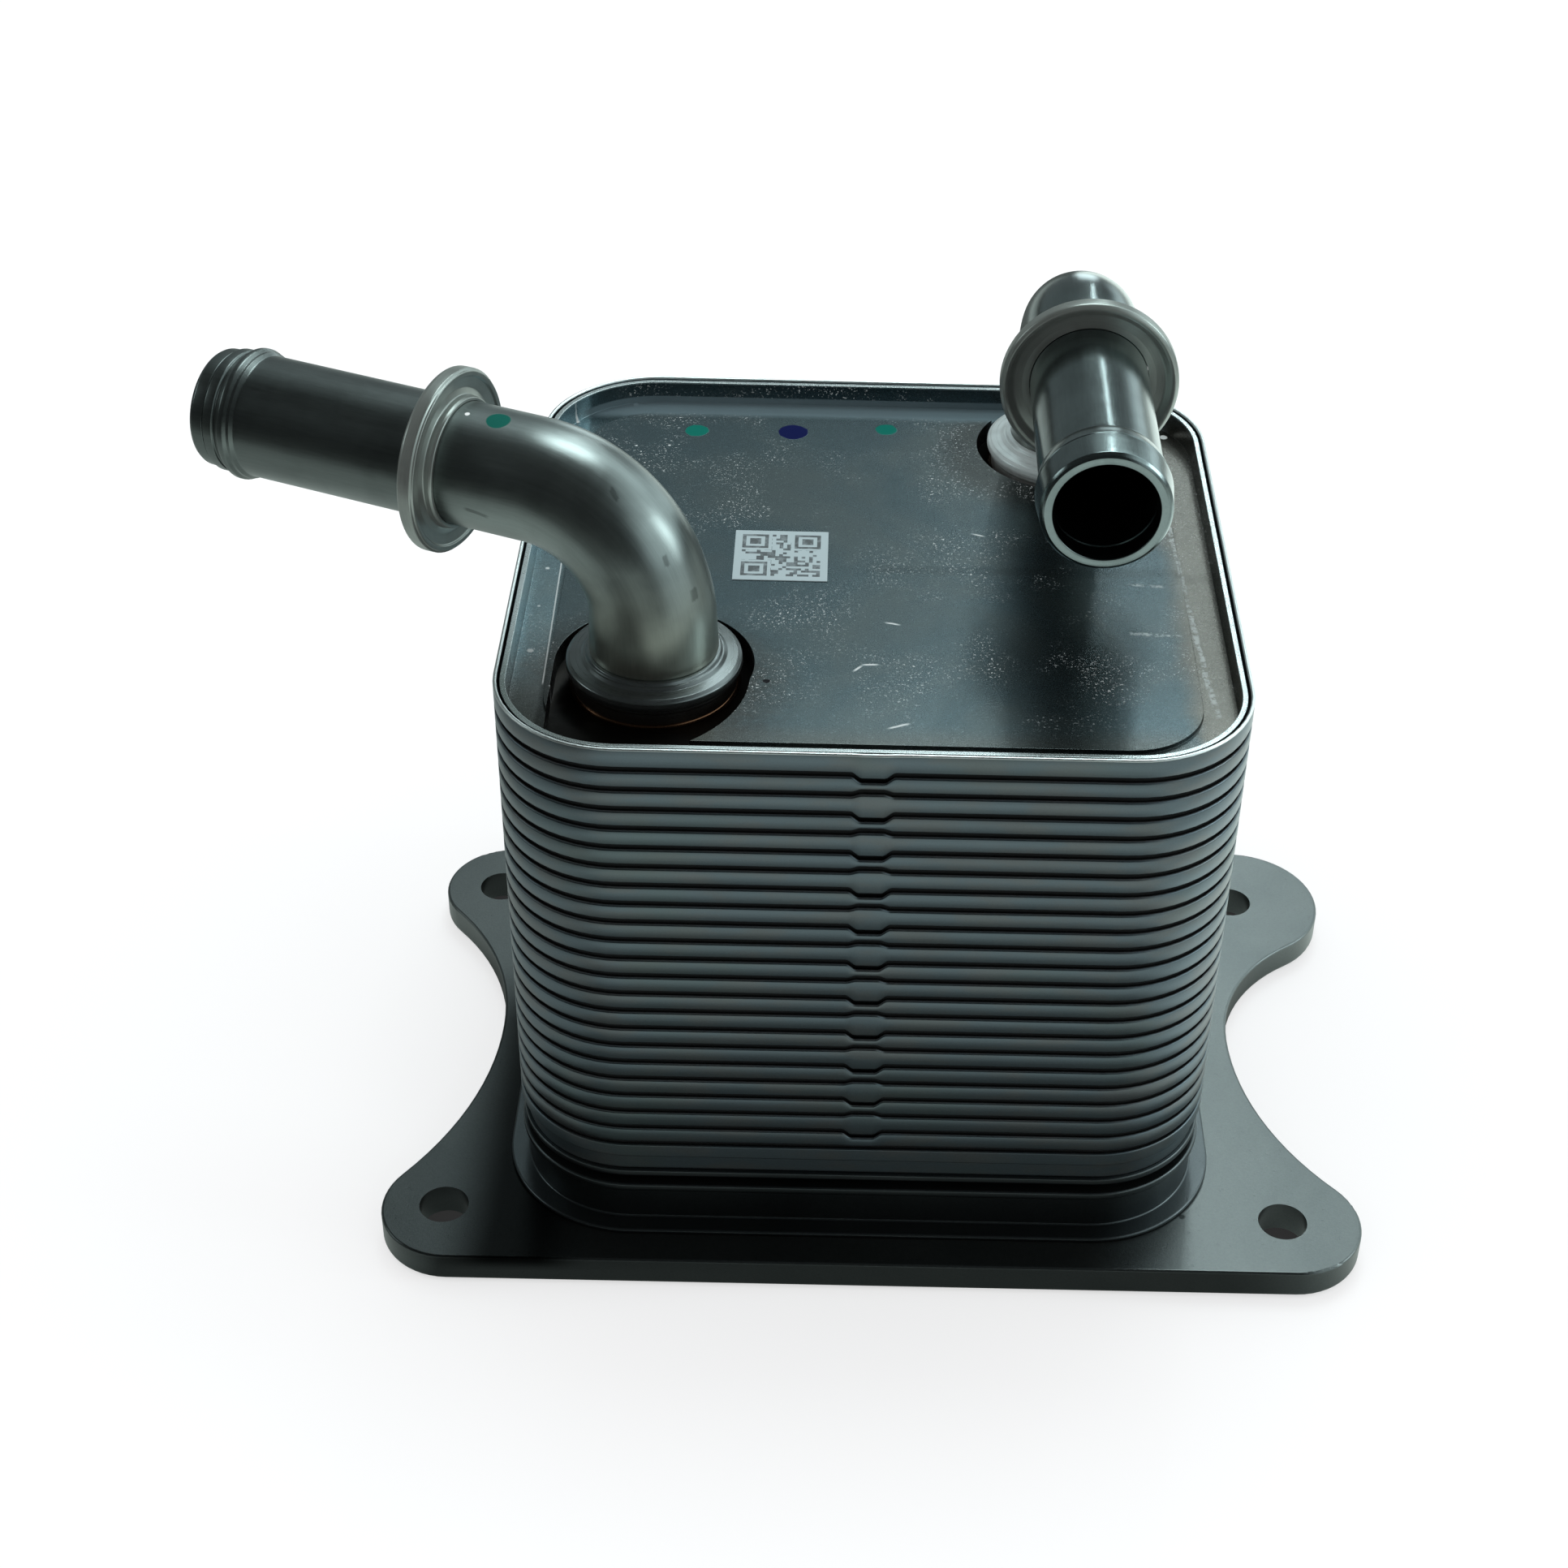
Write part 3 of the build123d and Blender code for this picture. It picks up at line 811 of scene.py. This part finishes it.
def cover_finish():
    """The cover's finely speckled steel, with painted shadow and darker patches by the ports, paint dots,
    marks and a rim lightened by wear and a painted highlight.
    """
    material, shader, place = finish_of("cover steel", specular=0.0)
    across, depth, height = split(place)
    rim = COVER_RIM / mm
    cloud = grains(place, 0.045, 4, 0.6, 0.5)
    fine = grains(place, 5.5, 3, 0.75)
    speck = rise(grains(place, 3.4, 1, 0.5), 0.66, 0.72)
    colour = blend(place, (0.094, 0.132, 0.146), (0.114, 0.14, 0.144), rise(cloud, 0.34, 0.68))
    warm_right = rise(across + (cloud - 0.5) * 6.0, 38.0, 42.0)
    warm_front = rise(depth + (cloud - 0.5) * 7.0, -33.0, -28.0, 1.0, 0.0) * 0.5
    colour = blend(place, colour, (0.15, 0.135, 0.115), either(warm_right, warm_front) * 0.8)
    # Painted shadow near the left port and the left front corner, and a darker patch by the right port.
    colour = blend(place, colour, (0.05, 0.042, 0.036), cover_shadows_and_port_darkening(place, across, depth, cloud) * 0.75)
    colour = shaded(colour, cover_level(across, depth, cloud, fine, speck))
    marks = cover_marks(place, depth)
    colour = blend(place, colour, (0.62, 0.66, 0.66), marks * 0.8)
    dabs = [spot(place, x, y, radius, 0.25, 0.1) for x, y, radius, _ in PAINT_DOTS]
    for dab, (*_, hue) in zip(dabs, PAINT_DOTS):
        colour = blend(place, colour, hue, dab * 0.96)
    paint = either(*dabs)
    haze = rise(depth + (cloud - 0.5) * 2.0, 51.0, 53.5) * rise(height, rim - 2.4, rim - 2.2, 1.0, 0.0)
    bare = (1.0 - either(paint, marks)) * (1.0 - haze * 0.5)
    colour = blend(place, colour, (0.13, 0.18, 0.2), haze)
    # The rim's top is lightened by wear and a painted highlight.
    worn = rise(height, rim - 0.3, rim - 0.14)
    tones = {
        "Base Color": blend(place, colour, (0.6, 0.65, 0.65), worn),
        "Roughness": 0.2 + cloud * 0.06 + fine * 0.1 + (1.0 - bare) * 0.25,
        "Metallic": bare,
        "Normal": bumped(fine * (1.0 - paint) + paint * 3.0, 0.008),
    }
    applied(shader, tones)
    return material


def dark_mark(place, streak, x, y, z, length, width, slant):
    """A short dark mark on a tube, with its slant in degrees from the level."""
    away_x, _, away_z = split(vector_sum("SUBTRACT", place, (x, y, z)))
    along = away_x * cos(radians(slant)) + away_z * sin(radians(slant))
    side = away_z * cos(radians(slant)) - away_x * sin(radians(slant))
    inside = rise(abs(along) + (streak - 0.5), length * 0.6, length, 1.0, 0.0)
    return inside * rise(abs(side) + (streak - 0.5) * 0.5, width * 0.4, width, 1.0, 0.0)


def tube_finish(
    name, base, low_colour, low=(86.0, 96.0), marks=(), dab=None, turned=0.0, satin=0.0, lean=0.0,
    glint=None, polish_and_painted_highlight=None,
):
    """Drawn or turned metal: fine lines that follow the shape, with a warm tint low down from being heated;
    on the left tube that low colour is also lighter, as painted light.

    low: heights between which the tint fades out. marks: dark marks. dab: middle, radius and
    colour of a paint dot. turned: added roughness. satin: how far it is from bare metal.
    lean: how far the foot's surface tips, in millimetres. glint: middle of a painted glint, on a tube that
    is also brighter toward its bend. polish: the depth in front of which it is smoother and painted
    brighter.
    """
    material, shader, place = finish_of(name, 1.0 - satin, 0.0)
    across, depth, height = split(place)
    grain = scaled(attribute(place, "grain", "Vector"), 1000.0)
    streak = grains(grain, 2.2, 4, 0.7)
    hair = grains(grain, 9.0, 2, 0.6)
    cloud = grains(place, 0.11, 3, 0.6, 0.3)
    foot = rise(height + (cloud - 0.5) * 6.0, *low, 1.0, 0.0)
    colour = blend(place, base, tuple(part * 0.8 for part in base), rise(cloud, 0.35, 0.7))
    colour = blend(place, colour, low_colour, foot * 0.7)
    level = 0.76 + streak * 0.28 + hair * 0.2
    rough = 0.17 + streak * 0.08 + hair * 0.08 + turned
    relief = streak * 0.7 + hair * 0.3
    if glint:
        level = level * rise(across + (cloud - 0.5) * 6.0, -62.0, -50.0, 0.84, 1.25)
    if polish_and_painted_highlight:
        # In front of that depth the metal is smoother and painted brighter, a painted highlight on the
        # polished bead.
        level = level * rise(depth, polish_and_painted_highlight - 0.4, polish_and_painted_highlight + 0.4, 1.9, 1.0)
        rough = rough * rise(depth, polish_and_painted_highlight - 0.4, polish_and_painted_highlight + 0.4, 0.6, 1.0)
    for mark in marks:
        level = level * (1.0 - dark_mark(place, streak, *mark) * 0.4)
    colour = shaded(colour, level)
    if lean:
        relief = relief + rise(height, 86.0, 102.0, lean / 0.008, 0.0)
    tones = {"Base Color": colour, "Roughness": rough, "Normal": bumped(relief, 0.008)}
    if dab:
        middle, radius, hue = dab
        away = distance(place, middle) + (cloud - 0.5) * 0.5
        paint = rise(away, radius - 0.12, radius + 0.12, 1.0, 0.0)
        tones["Base Color"] = blend(place, colour, hue, paint * 0.97)
        tones["Metallic"] = 1.0 - paint
    # A painted glint: a small white spot.
    if glint:
        bright = rise(distance(place, glint), 0.25, 0.4, 1.0, 0.0)
        tones["Base Color"] = blend(place, tones["Base Color"], (0.8, 0.82, 0.82), bright)
        tones["Metallic"] = tones["Metallic"] * (1.0 - bright)
    applied(shader, tones)
    return material


def rubber_finish():
    """Matt black rubber."""
    material, shader, place = finish_of("seal rubber", 0.0, 0.4)
    fine = grains(place, 4.0, 3, 0.7)
    colour = blend(place, (0.012, 0.014, 0.013), (0.03, 0.032, 0.03), fine)
    applied(shader, {"Base Color": colour, "Roughness": 0.55 + fine * 0.2, "Normal": bumped(fine, 0.02)})
    return material


def label_finish(low, high):
    """Pale paper with a printed field of small blocks at random and three nested squares."""
    cells, margin = 21, 2.0
    square_middle = 3.5
    near, far = margin + square_middle, margin + cells - square_middle
    material, shader, place = finish_of("label paper", 0.0, 0.3)
    corner = vector_sum("SUBTRACT", place, (low.x / mm, low.y / mm, 0))
    grid = scaled(corner, (cells + 2 * margin) / ((high.x - low.x) / mm))
    cell = stretched(vector_sum("FLOOR", grid, (0, 0, 0)), 1, 1, 0)
    ink = place.node("ShaderNodeTexWhiteNoise", {"noise_dimensions": "2D"}, {"Vector": cell}) > 0.56
    across, down, _ = split(grid)
    inside = (across > margin) * (across < cells + margin) * (down > margin) * (down < cells + margin)
    for x, y in ((near, far), (near, near), (far, far)):
        reach = either(abs(across - x), abs(down - y))
        square = (reach < 1.5) + (reach > 2.5) * (reach < 3.5)
        ink = ink * (reach > 4.4) + square
    fine = grains(place, 7.0, 2, 0.7)
    worn = rise(grains(place, 0.8, 3, 0.7), 0.3, 0.6)
    ink = ink * inside * (0.55 + worn * 0.35)
    colour = blend(place, (0.345, 0.43, 0.452), (0.035, 0.042, 0.046), ink)
    applied(shader, {"Base Color": colour, "Roughness": 0.45 + fine * 0.2, "Normal": bumped(fine, 0.008)})
    return material


# The object


def press_plates(core_finish, top_finish):
    """The core plates and the top plate, each nested in the one below."""
    tree = plate_tree()
    outline = outline_path()
    shared = {
        "Floor inset": FLOOR_INSET, "Lean": tan(FLARE), "Sheet": SHEET, "Unevenness": UNEVENNESS,
    }
    for number in range(1, PLATES + 1):
        name = f"core_plate_{number:02d}"
        rim_height = END_RIM + number * PITCH
        nest_rim = rim_height - PITCH
        odd = number % 2
        tongue = TONGUE if number > 1 else 0.0
        sizes = {
            "Floor height": nest_rim - NEST,
            "Band foot": nest_rim + RIM_GAP,
            "Rim height": rim_height,
            "Edge radius": PLATE_EDGE,
            "Foot mark": tongue if odd else DIP,
            "Rim mark": DIP if odd else TONGUE,
            "Covered": 1.0,
            "Seed": float(number),
        }
        plate = pressed(name, tree, outline, core_finish, shared | sizes)
        placed(plate, "plate_steel", core_finish, name)
    sizes = {
        "Floor height": TOP_FLOOR,
        "Band foot": CORE_RIM + RIM_GAP,
        "Rim height": TOP_RIM,
        "Edge radius": TOP_EDGE,
        "Foot mark": DIP,
        "Rim mark": 0.0,
        "Covered": 0.0,
        "Seed": 40.0,
    }
    plate = pressed("top_plate", tree, outline, top_finish, shared | sizes)
    placed(drilled(plate, (LEFT_PORT, RIGHT_PORT)), "plate_steel", top_finish, "top_plate")


def dress_nodes(plates):
    """The flange, pan, support plate, end plate, cover and label, with rounded edges."""
    flange = flange_finish(
        "flange steel", (0.14, 0.152, 0.15), (0.114, 0.126, 0.126), ((45.6, -35.9, 0.5), (42.4, -27.4, 0.5))
    )
    pan = flange_finish("pan steel", (0.1, 0.112, 0.116), (0.075, 0.086, 0.09))
    dressed("base_flange", 0.25 * mm, "flange_steel", flange)
    dressed("base_pan", 0.3 * mm, "pan_steel", pan)
    dressed("support_plate", 0.25 * mm, "pan_steel", pan)
    dressed("end_plate", 0.2 * mm, "plate_steel", plates)
    dressed("cover", 0.14 * mm, "cover_steel", cover_finish())
    label = label_finish(*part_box("code_label"))
    dressed("code_label", 0.03 * mm, "label_paper", label, steps=1)


# Turned outlines, in millimetres. The tips: radius, distance back from the open end, rounding
LEFT_TIP = (
    (8.05, 7.0, 0.5),
    (8.4, 6.45, 0.15),
    (8.42, 6.1, 0.1),
    (8.75, 5.6, 0.5),
    (8.75, 5.0, 0.5),
    (7.95, 3.95, 0.3),
    (7.95, 3.75, 0.1),
    (8.15, 3.6, 0.2),
    (8.15, 2.35, 0.15),
    (7.65, 2.25, 0.05),
    (7.65, 2.1, 0.05),
    (7.85, 2.0, 0.15),
    (7.8, 0.5, 0.4),
    (7.5, 0.0, 0.25),
    (6.75, 0.0, 0.2),
)
RIGHT_TIP = (
    (8.05, 7.5, 0.1),
    (8.38, 7.4, 0.12),
    (8.8, 4.95, 0.2),
    (8.7, 4.8, 0.1),
    (8.8, 4.6, 0.15),
    (8.42, 0.6, 0.25),
    (8.1, 0.15, 0.25),
    (7.8, 0.0, 0.1),
    (6.8, 0.0, 0.15),
    (6.8, 3.1, 0.1),
    (6.65, 3.3, 0.1),
)
# Radius, distance out from the riser's axis, rounding
COLLAR = (
    (8.1, 26.5, 0.05),
    (8.5, 26.5, 0.2),
    (8.65, 26.9, 0.3),
    (8.65, 27.6, 0.25),
    (9.6, 27.85, 0.6),
    (11.0, 27.6, 0.3),
    (11.15, 27.3, 0.2),
    (11.75, 27.25, 0.25),
    (11.85, 27.5, 0.1),
    (12.1, 27.65, 0.25),
    (12.1, 29.3, 0.6),
    (11.55, 29.7, 0.35),
    (11.1, 29.5, 0.3),
    (10.3, 28.7, 0.8),
    (9.1, 28.5, 0.5),
    (8.1, 28.45, 0.05),
)
# Radius, height over the top plate's floor, rounding
FERRULE = (
    (8.1, 0.0, 0.05),
    (10.7, 0.0, 0.2),
    (10.9, 0.4, 0.2),
    (10.9, 1.9, 0.3),
    (11.2, 2.3, 0.2),
    (11.2, 2.7, 0.2),
    (11.5, 2.9, 0.2),
    (11.6, 3.3, 0.3),
    (11.55, 4.0, 0.35),
    (11.0, 4.35, 0.25),
    (9.6, 4.55, 0.3),
    (9.2, 4.9, 0.2),
    (8.95, 4.95, 0.15),
    (8.8, 5.35, 0.2),
    (8.1, 5.5, 0.1),
)
BRAZE = (
    (10.55, 0.02, 0.0),
    (11.3, 0.02, 0.0),
    (10.75, 0.25, 0.2),
    (10.55, 0.6, 0.0),
)


def bent_tube(side, port, heading, height, flare, tip, finish):
    """A coolant tube: its foot with a slight flare, the riser, the bend and the beaded stub."""
    path, shift = tube_path(port, heading, height)
    end = shift + REACH
    wall = [
        (TUBE_BORE, 0.0, 0.2 * mm),
        (TUBE_RADIUS, 0.0, 0.2 * mm),
        (TUBE_RADIUS, 5.0 * mm, 0.2 * mm),
        (TUBE_RADIUS + flare, 5.3 * mm, 0.4 * mm),
        (TUBE_RADIUS, 15.0 * mm, 2.0 * mm),
    ]
    wall += [(radius, end - back, bend) for radius, back, bend in sized(tip)]
    tube = carried(f"coolant_tube_{side}_drawn", divided(softened(wall), 1.1 * mm), path)
    placed(tube, "tube_steel", finish, f"coolant_tube_{side}")


def fit_stub(side, port, heading, height, collar_finish, ferrule_finish, copper):
    """A tube's turned fittings: stop collar, ferrule and the braze round the ferrule's foot."""
    stub = stub_path(port, heading, height)
    riser = upright(port, SEAT)
    collar = carried(f"stop_collar_{side}_turned", softened(sized(COLLAR), 4), stub, ringed=True)
    placed(collar, "collar_steel", collar_finish, f"stop_collar_{side}")
    ferrule = carried(f"ferrule_{side}_turned", softened(sized(FERRULE), 4), riser, ringed=True)
    placed(ferrule, "ferrule_steel", ferrule_finish, f"ferrule_{side}")
    bead = softened(sized(BRAZE))
    braze = carried(f"braze_ring_{side}", bead, riser, ringed=True, wobble=0.04 * mm)
    placed(braze, "ferrule_steel", copper)


def tube_finishes():
    """The finishes of the tubes and their fittings, by the side or the fitting."""
    marks = (
        (-51.5, -15.0, 106.2, 1.9, 0.4, -12.0),
        (-33.7, -17.9, 111.0, 0.9, 0.35, -50.0),
        (-27.3, -19.6, 103.2, 0.8, 0.4, -70.0),
        (-23.8, -18.6, 98.0, 0.9, 0.5, -80.0),
    )
    dab = ((-48.9, -8.6, 116.0), 1.6, (0.003, 0.085, 0.066))
    brown, copper = (0.07, 0.045, 0.03), (0.16, 0.08, 0.045)
    return {
        # Its low colour is a warm tint made lighter, as painted light on the foot of the bend.
        "left": tube_finish(
            "left tube steel", (0.21, 0.236, 0.23), (0.43, 0.44, 0.37), (86.0, 104.0), marks, dab,
            turned=0.07, lean=1.4, glint=(-52.97, -7.11, 115.97),
        ),
        "right": tube_finish(
            "right tube steel", (0.22, 0.262, 0.262), (0.2, 0.185, 0.16), (84.0, 99.0),
            turned=-0.06, polish_and_painted_highlight=-39.4,
        ),
        "collar": tube_finish(
            "collar steel", (0.33, 0.36, 0.34), (0.2, 0.17, 0.14), turned=0.06, satin=0.2
        ),
        "left ferrule": tube_finish(
            "left ferrule steel", (0.2, 0.22, 0.22), brown, (82.5, 85.6), turned=0.04, satin=0.03
        ),
        # The right ferrule's steel is a lighter, more diffuse copy of the left one's, painted light on a
        # ferrule that sits in shade.
        "right ferrule": tube_finish(
            "right ferrule steel with painted light", (0.6, 0.68, 0.68), brown, (82.5, 85.0), turned=0.04, satin=0.5
        ),
        "copper": tube_finish("braze copper", copper, copper),
    }


def turn_tubes():
    """Both coolant tubes with their fittings."""
    finish = tube_finishes()
    for side, port, heading, height, flare, tip in (
        ("left", LEFT_PORT, LEFT_HEADING, LEFT_AXIS, 0.45 * mm, LEFT_TIP),
        ("right", RIGHT_PORT, RIGHT_HEADING, RIGHT_AXIS, 0.1 * mm, RIGHT_TIP),
    ):
        bent_tube(side, port, heading, height, flare, tip, finish[side])
        fittings = finish["collar"], finish[f"{side} ferrule"], finish["copper"]
        fit_stub(side, port, heading, height, *fittings)


def mould_seals():
    """The two seal rings in their seats under the flange."""
    rubber = rubber_finish()
    for name in ("seal_ring_front", "seal_ring_rear"):
        low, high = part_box(name)
        outer, thick = (high.x - low.x) / 2, high.z - low.z
        inner = SEAL_BORE / 2
        corners = ((inner, 0.0), (outer, 0.0), (outer, thick), (inner, thick))
        band = softened([(*corner, SEAL_EDGE) for corner in corners])
        seal = carried(f"{name}_moulded", band, upright((low + high) / 2, low.z), ringed=True)
        placed(seal, "seal_rubber", rubber, name)


# The floor, the light and the camera


def floor_pools(across, depth):
    """What metal mirrors of the floor: bright in front and at the right, dim at the left."""
    front = rise(depth, -150.0, -62.0, 0.84, 0.12) + rise(depth, -220.0, -160.0, 0.4, 0.0)
    front = front * rise(depth, -320.0, -200.0, 0.45, 1.0) * rise(across, -175.0, -85.0, 0.1, 1.0)
    left = rise(across, -480.0, -200.0, 0.04, 0.46) + rise(across, -150.0, -105.0, 0.0, 0.28)
    left = left * rise(across, -72.0, -55.0, 1.0, 0.0) * rise(across, -130.0, -75.0, 1.0, 0.6)
    left = left * rise(depth, -260.0, -120.0, 0.05, 1.0)
    right = rise(across, 52.0, 95.0, 0.0, 1.4) * rise(across, 220.0, 420.0, 1.0, 0.3)
    return either(front, left) + right * rise(depth, -150.0, -20.0)


def backdrop():
    """A pale floor, white to the camera, with its own pools of light where metal mirrors it, and painted
    shadow under each bolt hole.
    """
    reach, drop = 3.0, 0.2 * mm
    bolt_x, bolt_y = 60.0, 36.5
    mesh = bpy.data.meshes.new("floor")
    corners = ((-reach, -reach), (reach, -reach), (reach, reach), (-reach, reach))
    mesh.from_pydata([(x, y, -drop) for x, y in corners], [], [(0, 1, 2, 3)])
    floor = new_piece("floor", mesh)
    material = bpy.data.materials.new("floor paper")
    material.use_nodes = True
    material.node_tree.nodes.clear()
    start = Tone(material.node_tree)
    rays = start.node("ShaderNodeLightPath")
    place = own_place(start)
    across, depth, _ = split(place)
    bolts = [(x, y, -drop / mm) for x in (-bolt_x, bolt_x) for y in (-bolt_y, bolt_y)]
    # Painted shadow on the floor under each bolt hole.
    bolt_hole_shadow = either(*[rise(distance(place, bolt), 4.5, 6.0, 1.0, 0.0) for bolt in bolts])
    lit = 1.0 - bolt_hole_shadow * 0.96
    plain = start.node("ShaderNodeBsdfDiffuse", {}, {"Color": (0.8, 0.8, 0.8, 1)})
    grey = point(start, lit * 0.36, lit * 0.36, lit * 0.365)
    faint = start.node("ShaderNodeBsdfDiffuse", {}, {"Color": grey})
    glow = start.node("ShaderNodeEmission", {}, {"Color": (1, 1, 1, 1), "Strength": lit * 0.6})
    lifted = start.node("ShaderNodeAddShader", {}, {0: faint, 1: glow})
    pools = floor_pools(across, depth)
    mirrored = start.node("ShaderNodeEmission", {}, {"Color": (0.87, 1.0, 0.95, 1), "Strength": pools})
    unseen = start.node("ShaderNodeMixShader", {}, {0: rays.other("Is Glossy Ray"), 1: plain, 2: mirrored})
    seen = either(rays.other("Is Camera Ray"), rays.other("Is Transmission Ray"))
    both = start.node("ShaderNodeMixShader", {}, {0: seen, 1: unseen, 2: lifted})
    start.node("ShaderNodeOutputMaterial", {}, {"Surface": both})
    mesh.materials.append(material)


def mirrored_room(x, y, z):
    """What metal mirrors of the room: dark, with a broad light at the back and one at the right."""
    back = rise(y, 0.1, 0.8, 0.03, 0.2)
    broad = rise(z, 0.44, 0.63) * rise(z, 0.66, 0.95, 1.0, 0.4) * rise(x, -0.32, 0.24) * rise(y, 0.1, 0.6)
    side = rise(x, 0.35, 0.72) * rise(z, -0.05, 0.2)
    strip = rise(abs(x - 0.1), 0.05, 0.12, 2.6, 0.0) + rise(x, 0.22, 0.4, 0.0, 0.9)
    low = strip * rise(z, 0.1, 0.24, 1.0, 0.0) * rise(y, 0.3, 0.6)
    return back + broad * 1.3 + side * 1.1 + low


def studio():
    """A white surrounding for the camera, a plain light, and the room that metal mirrors."""
    world = bpy.data.worlds.new("studio")
    bpy.context.scene.world = world
    world.use_nodes = True
    world.node_tree.nodes.clear()
    start = Tone(world.node_tree)
    rays = start.node("ShaderNodeLightPath")
    course = start.node("ShaderNodeTexCoord").other("Generated")
    mirror = mirrored_room(*split(course))
    camera, glossy = rays.other("Is Camera Ray"), rays.other("Is Glossy Ray")
    strength = camera + (1.0 - camera) * (glossy * mirror + (1.0 - glossy) * 0.95)
    tint = blend(start, (1.0, 1.0, 1.0), (0.84, 1.0, 1.02), glossy)
    shine = start.node("ShaderNodeBackground", {}, {"Color": tint, "Strength": strength})
    start.node("ShaderNodeOutputWorld", {}, {"Surface": shine})


def lamp(name, size, brightness, place):
    """A soft box that faces the part. Its brightness is what a mirror would show, where 1 is white."""
    light = bpy.data.lights.new(name, "AREA")
    light.shape = "RECTANGLE"
    light.size, light.size_y = size
    light.energy = brightness * pi * size[0] * size[1]
    light.color = (0.86, 1.0, 1.01)
    holder = bpy.data.objects.new(name, light)
    bpy.context.scene.collection.objects.link(holder)
    holder.location = place
    aim = Vector((0.0, 0.0, 0.06)) - Vector(place)
    holder.rotation_euler = aim.to_track_quat("-Z", "Y").to_euler()


def photo_camera():
    """The photograph's camera: above the front edge, looking down and back."""
    # In pixels of the photograph: its size, the focal length and where the lens's axis meets it
    photo_size, focal, across, down = 1932, 3251.12, 1053.17, 1009.18
    pitch, yaw, roll = radians(37.02), radians(0.53), radians(1.58)
    film = 36.0
    eye = Vector((-5.33, -303.98, 277.05)) * mm
    ahead = Vector((sin(yaw) * cos(pitch), cos(yaw) * cos(pitch), -sin(pitch)))
    right = Vector((cos(yaw), -sin(yaw), 0))
    up = right.cross(ahead)
    tilted = right * cos(roll) + up * sin(roll)
    above = up * cos(roll) - right * sin(roll)
    data = bpy.data.cameras.new("camera")
    data.sensor_width = film
    data.lens = focal / photo_size * film
    data.shift_x = (photo_size / 2 - across) / photo_size
    data.shift_y = (down - photo_size / 2) / photo_size
    data.clip_start = 0.01
    camera = bpy.data.objects.new("camera", data)
    bpy.context.scene.collection.objects.link(camera)
    turn = Matrix((tilted, above, -ahead)).transposed()
    camera.matrix_world = Matrix.Translation(eye) @ turn.to_4x4()
    bpy.context.scene.camera = camera


core_steel = plate_finish("plate steel", False)
press_plates(core_steel, plate_finish("top plate steel", True))
dress_nodes(core_steel)
turn_tubes()
mould_seals()

backdrop()
studio()
lamp("overhead", size=(0.5, 0.4), brightness=6.0, place=(0.08, 0.42, 1.1))
lamp("crown", size=(0.1, 0.12), brightness=10.0, place=(0.17, 0.92, 0.99))
lamp("left window", size=(0.3, 0.3), brightness=2.2, place=(-0.95, 0.05, 0.5))
lamp("right window", size=(0.3, 0.4), brightness=4.6, place=(0.98, 0.0, 0.52))
lamp("back strip", size=(0.02, 0.3), brightness=12.5, place=(0.2, 1.0, 0.6))
photo_camera()
bpy.context.scene.view_settings.view_transform = "Standard"
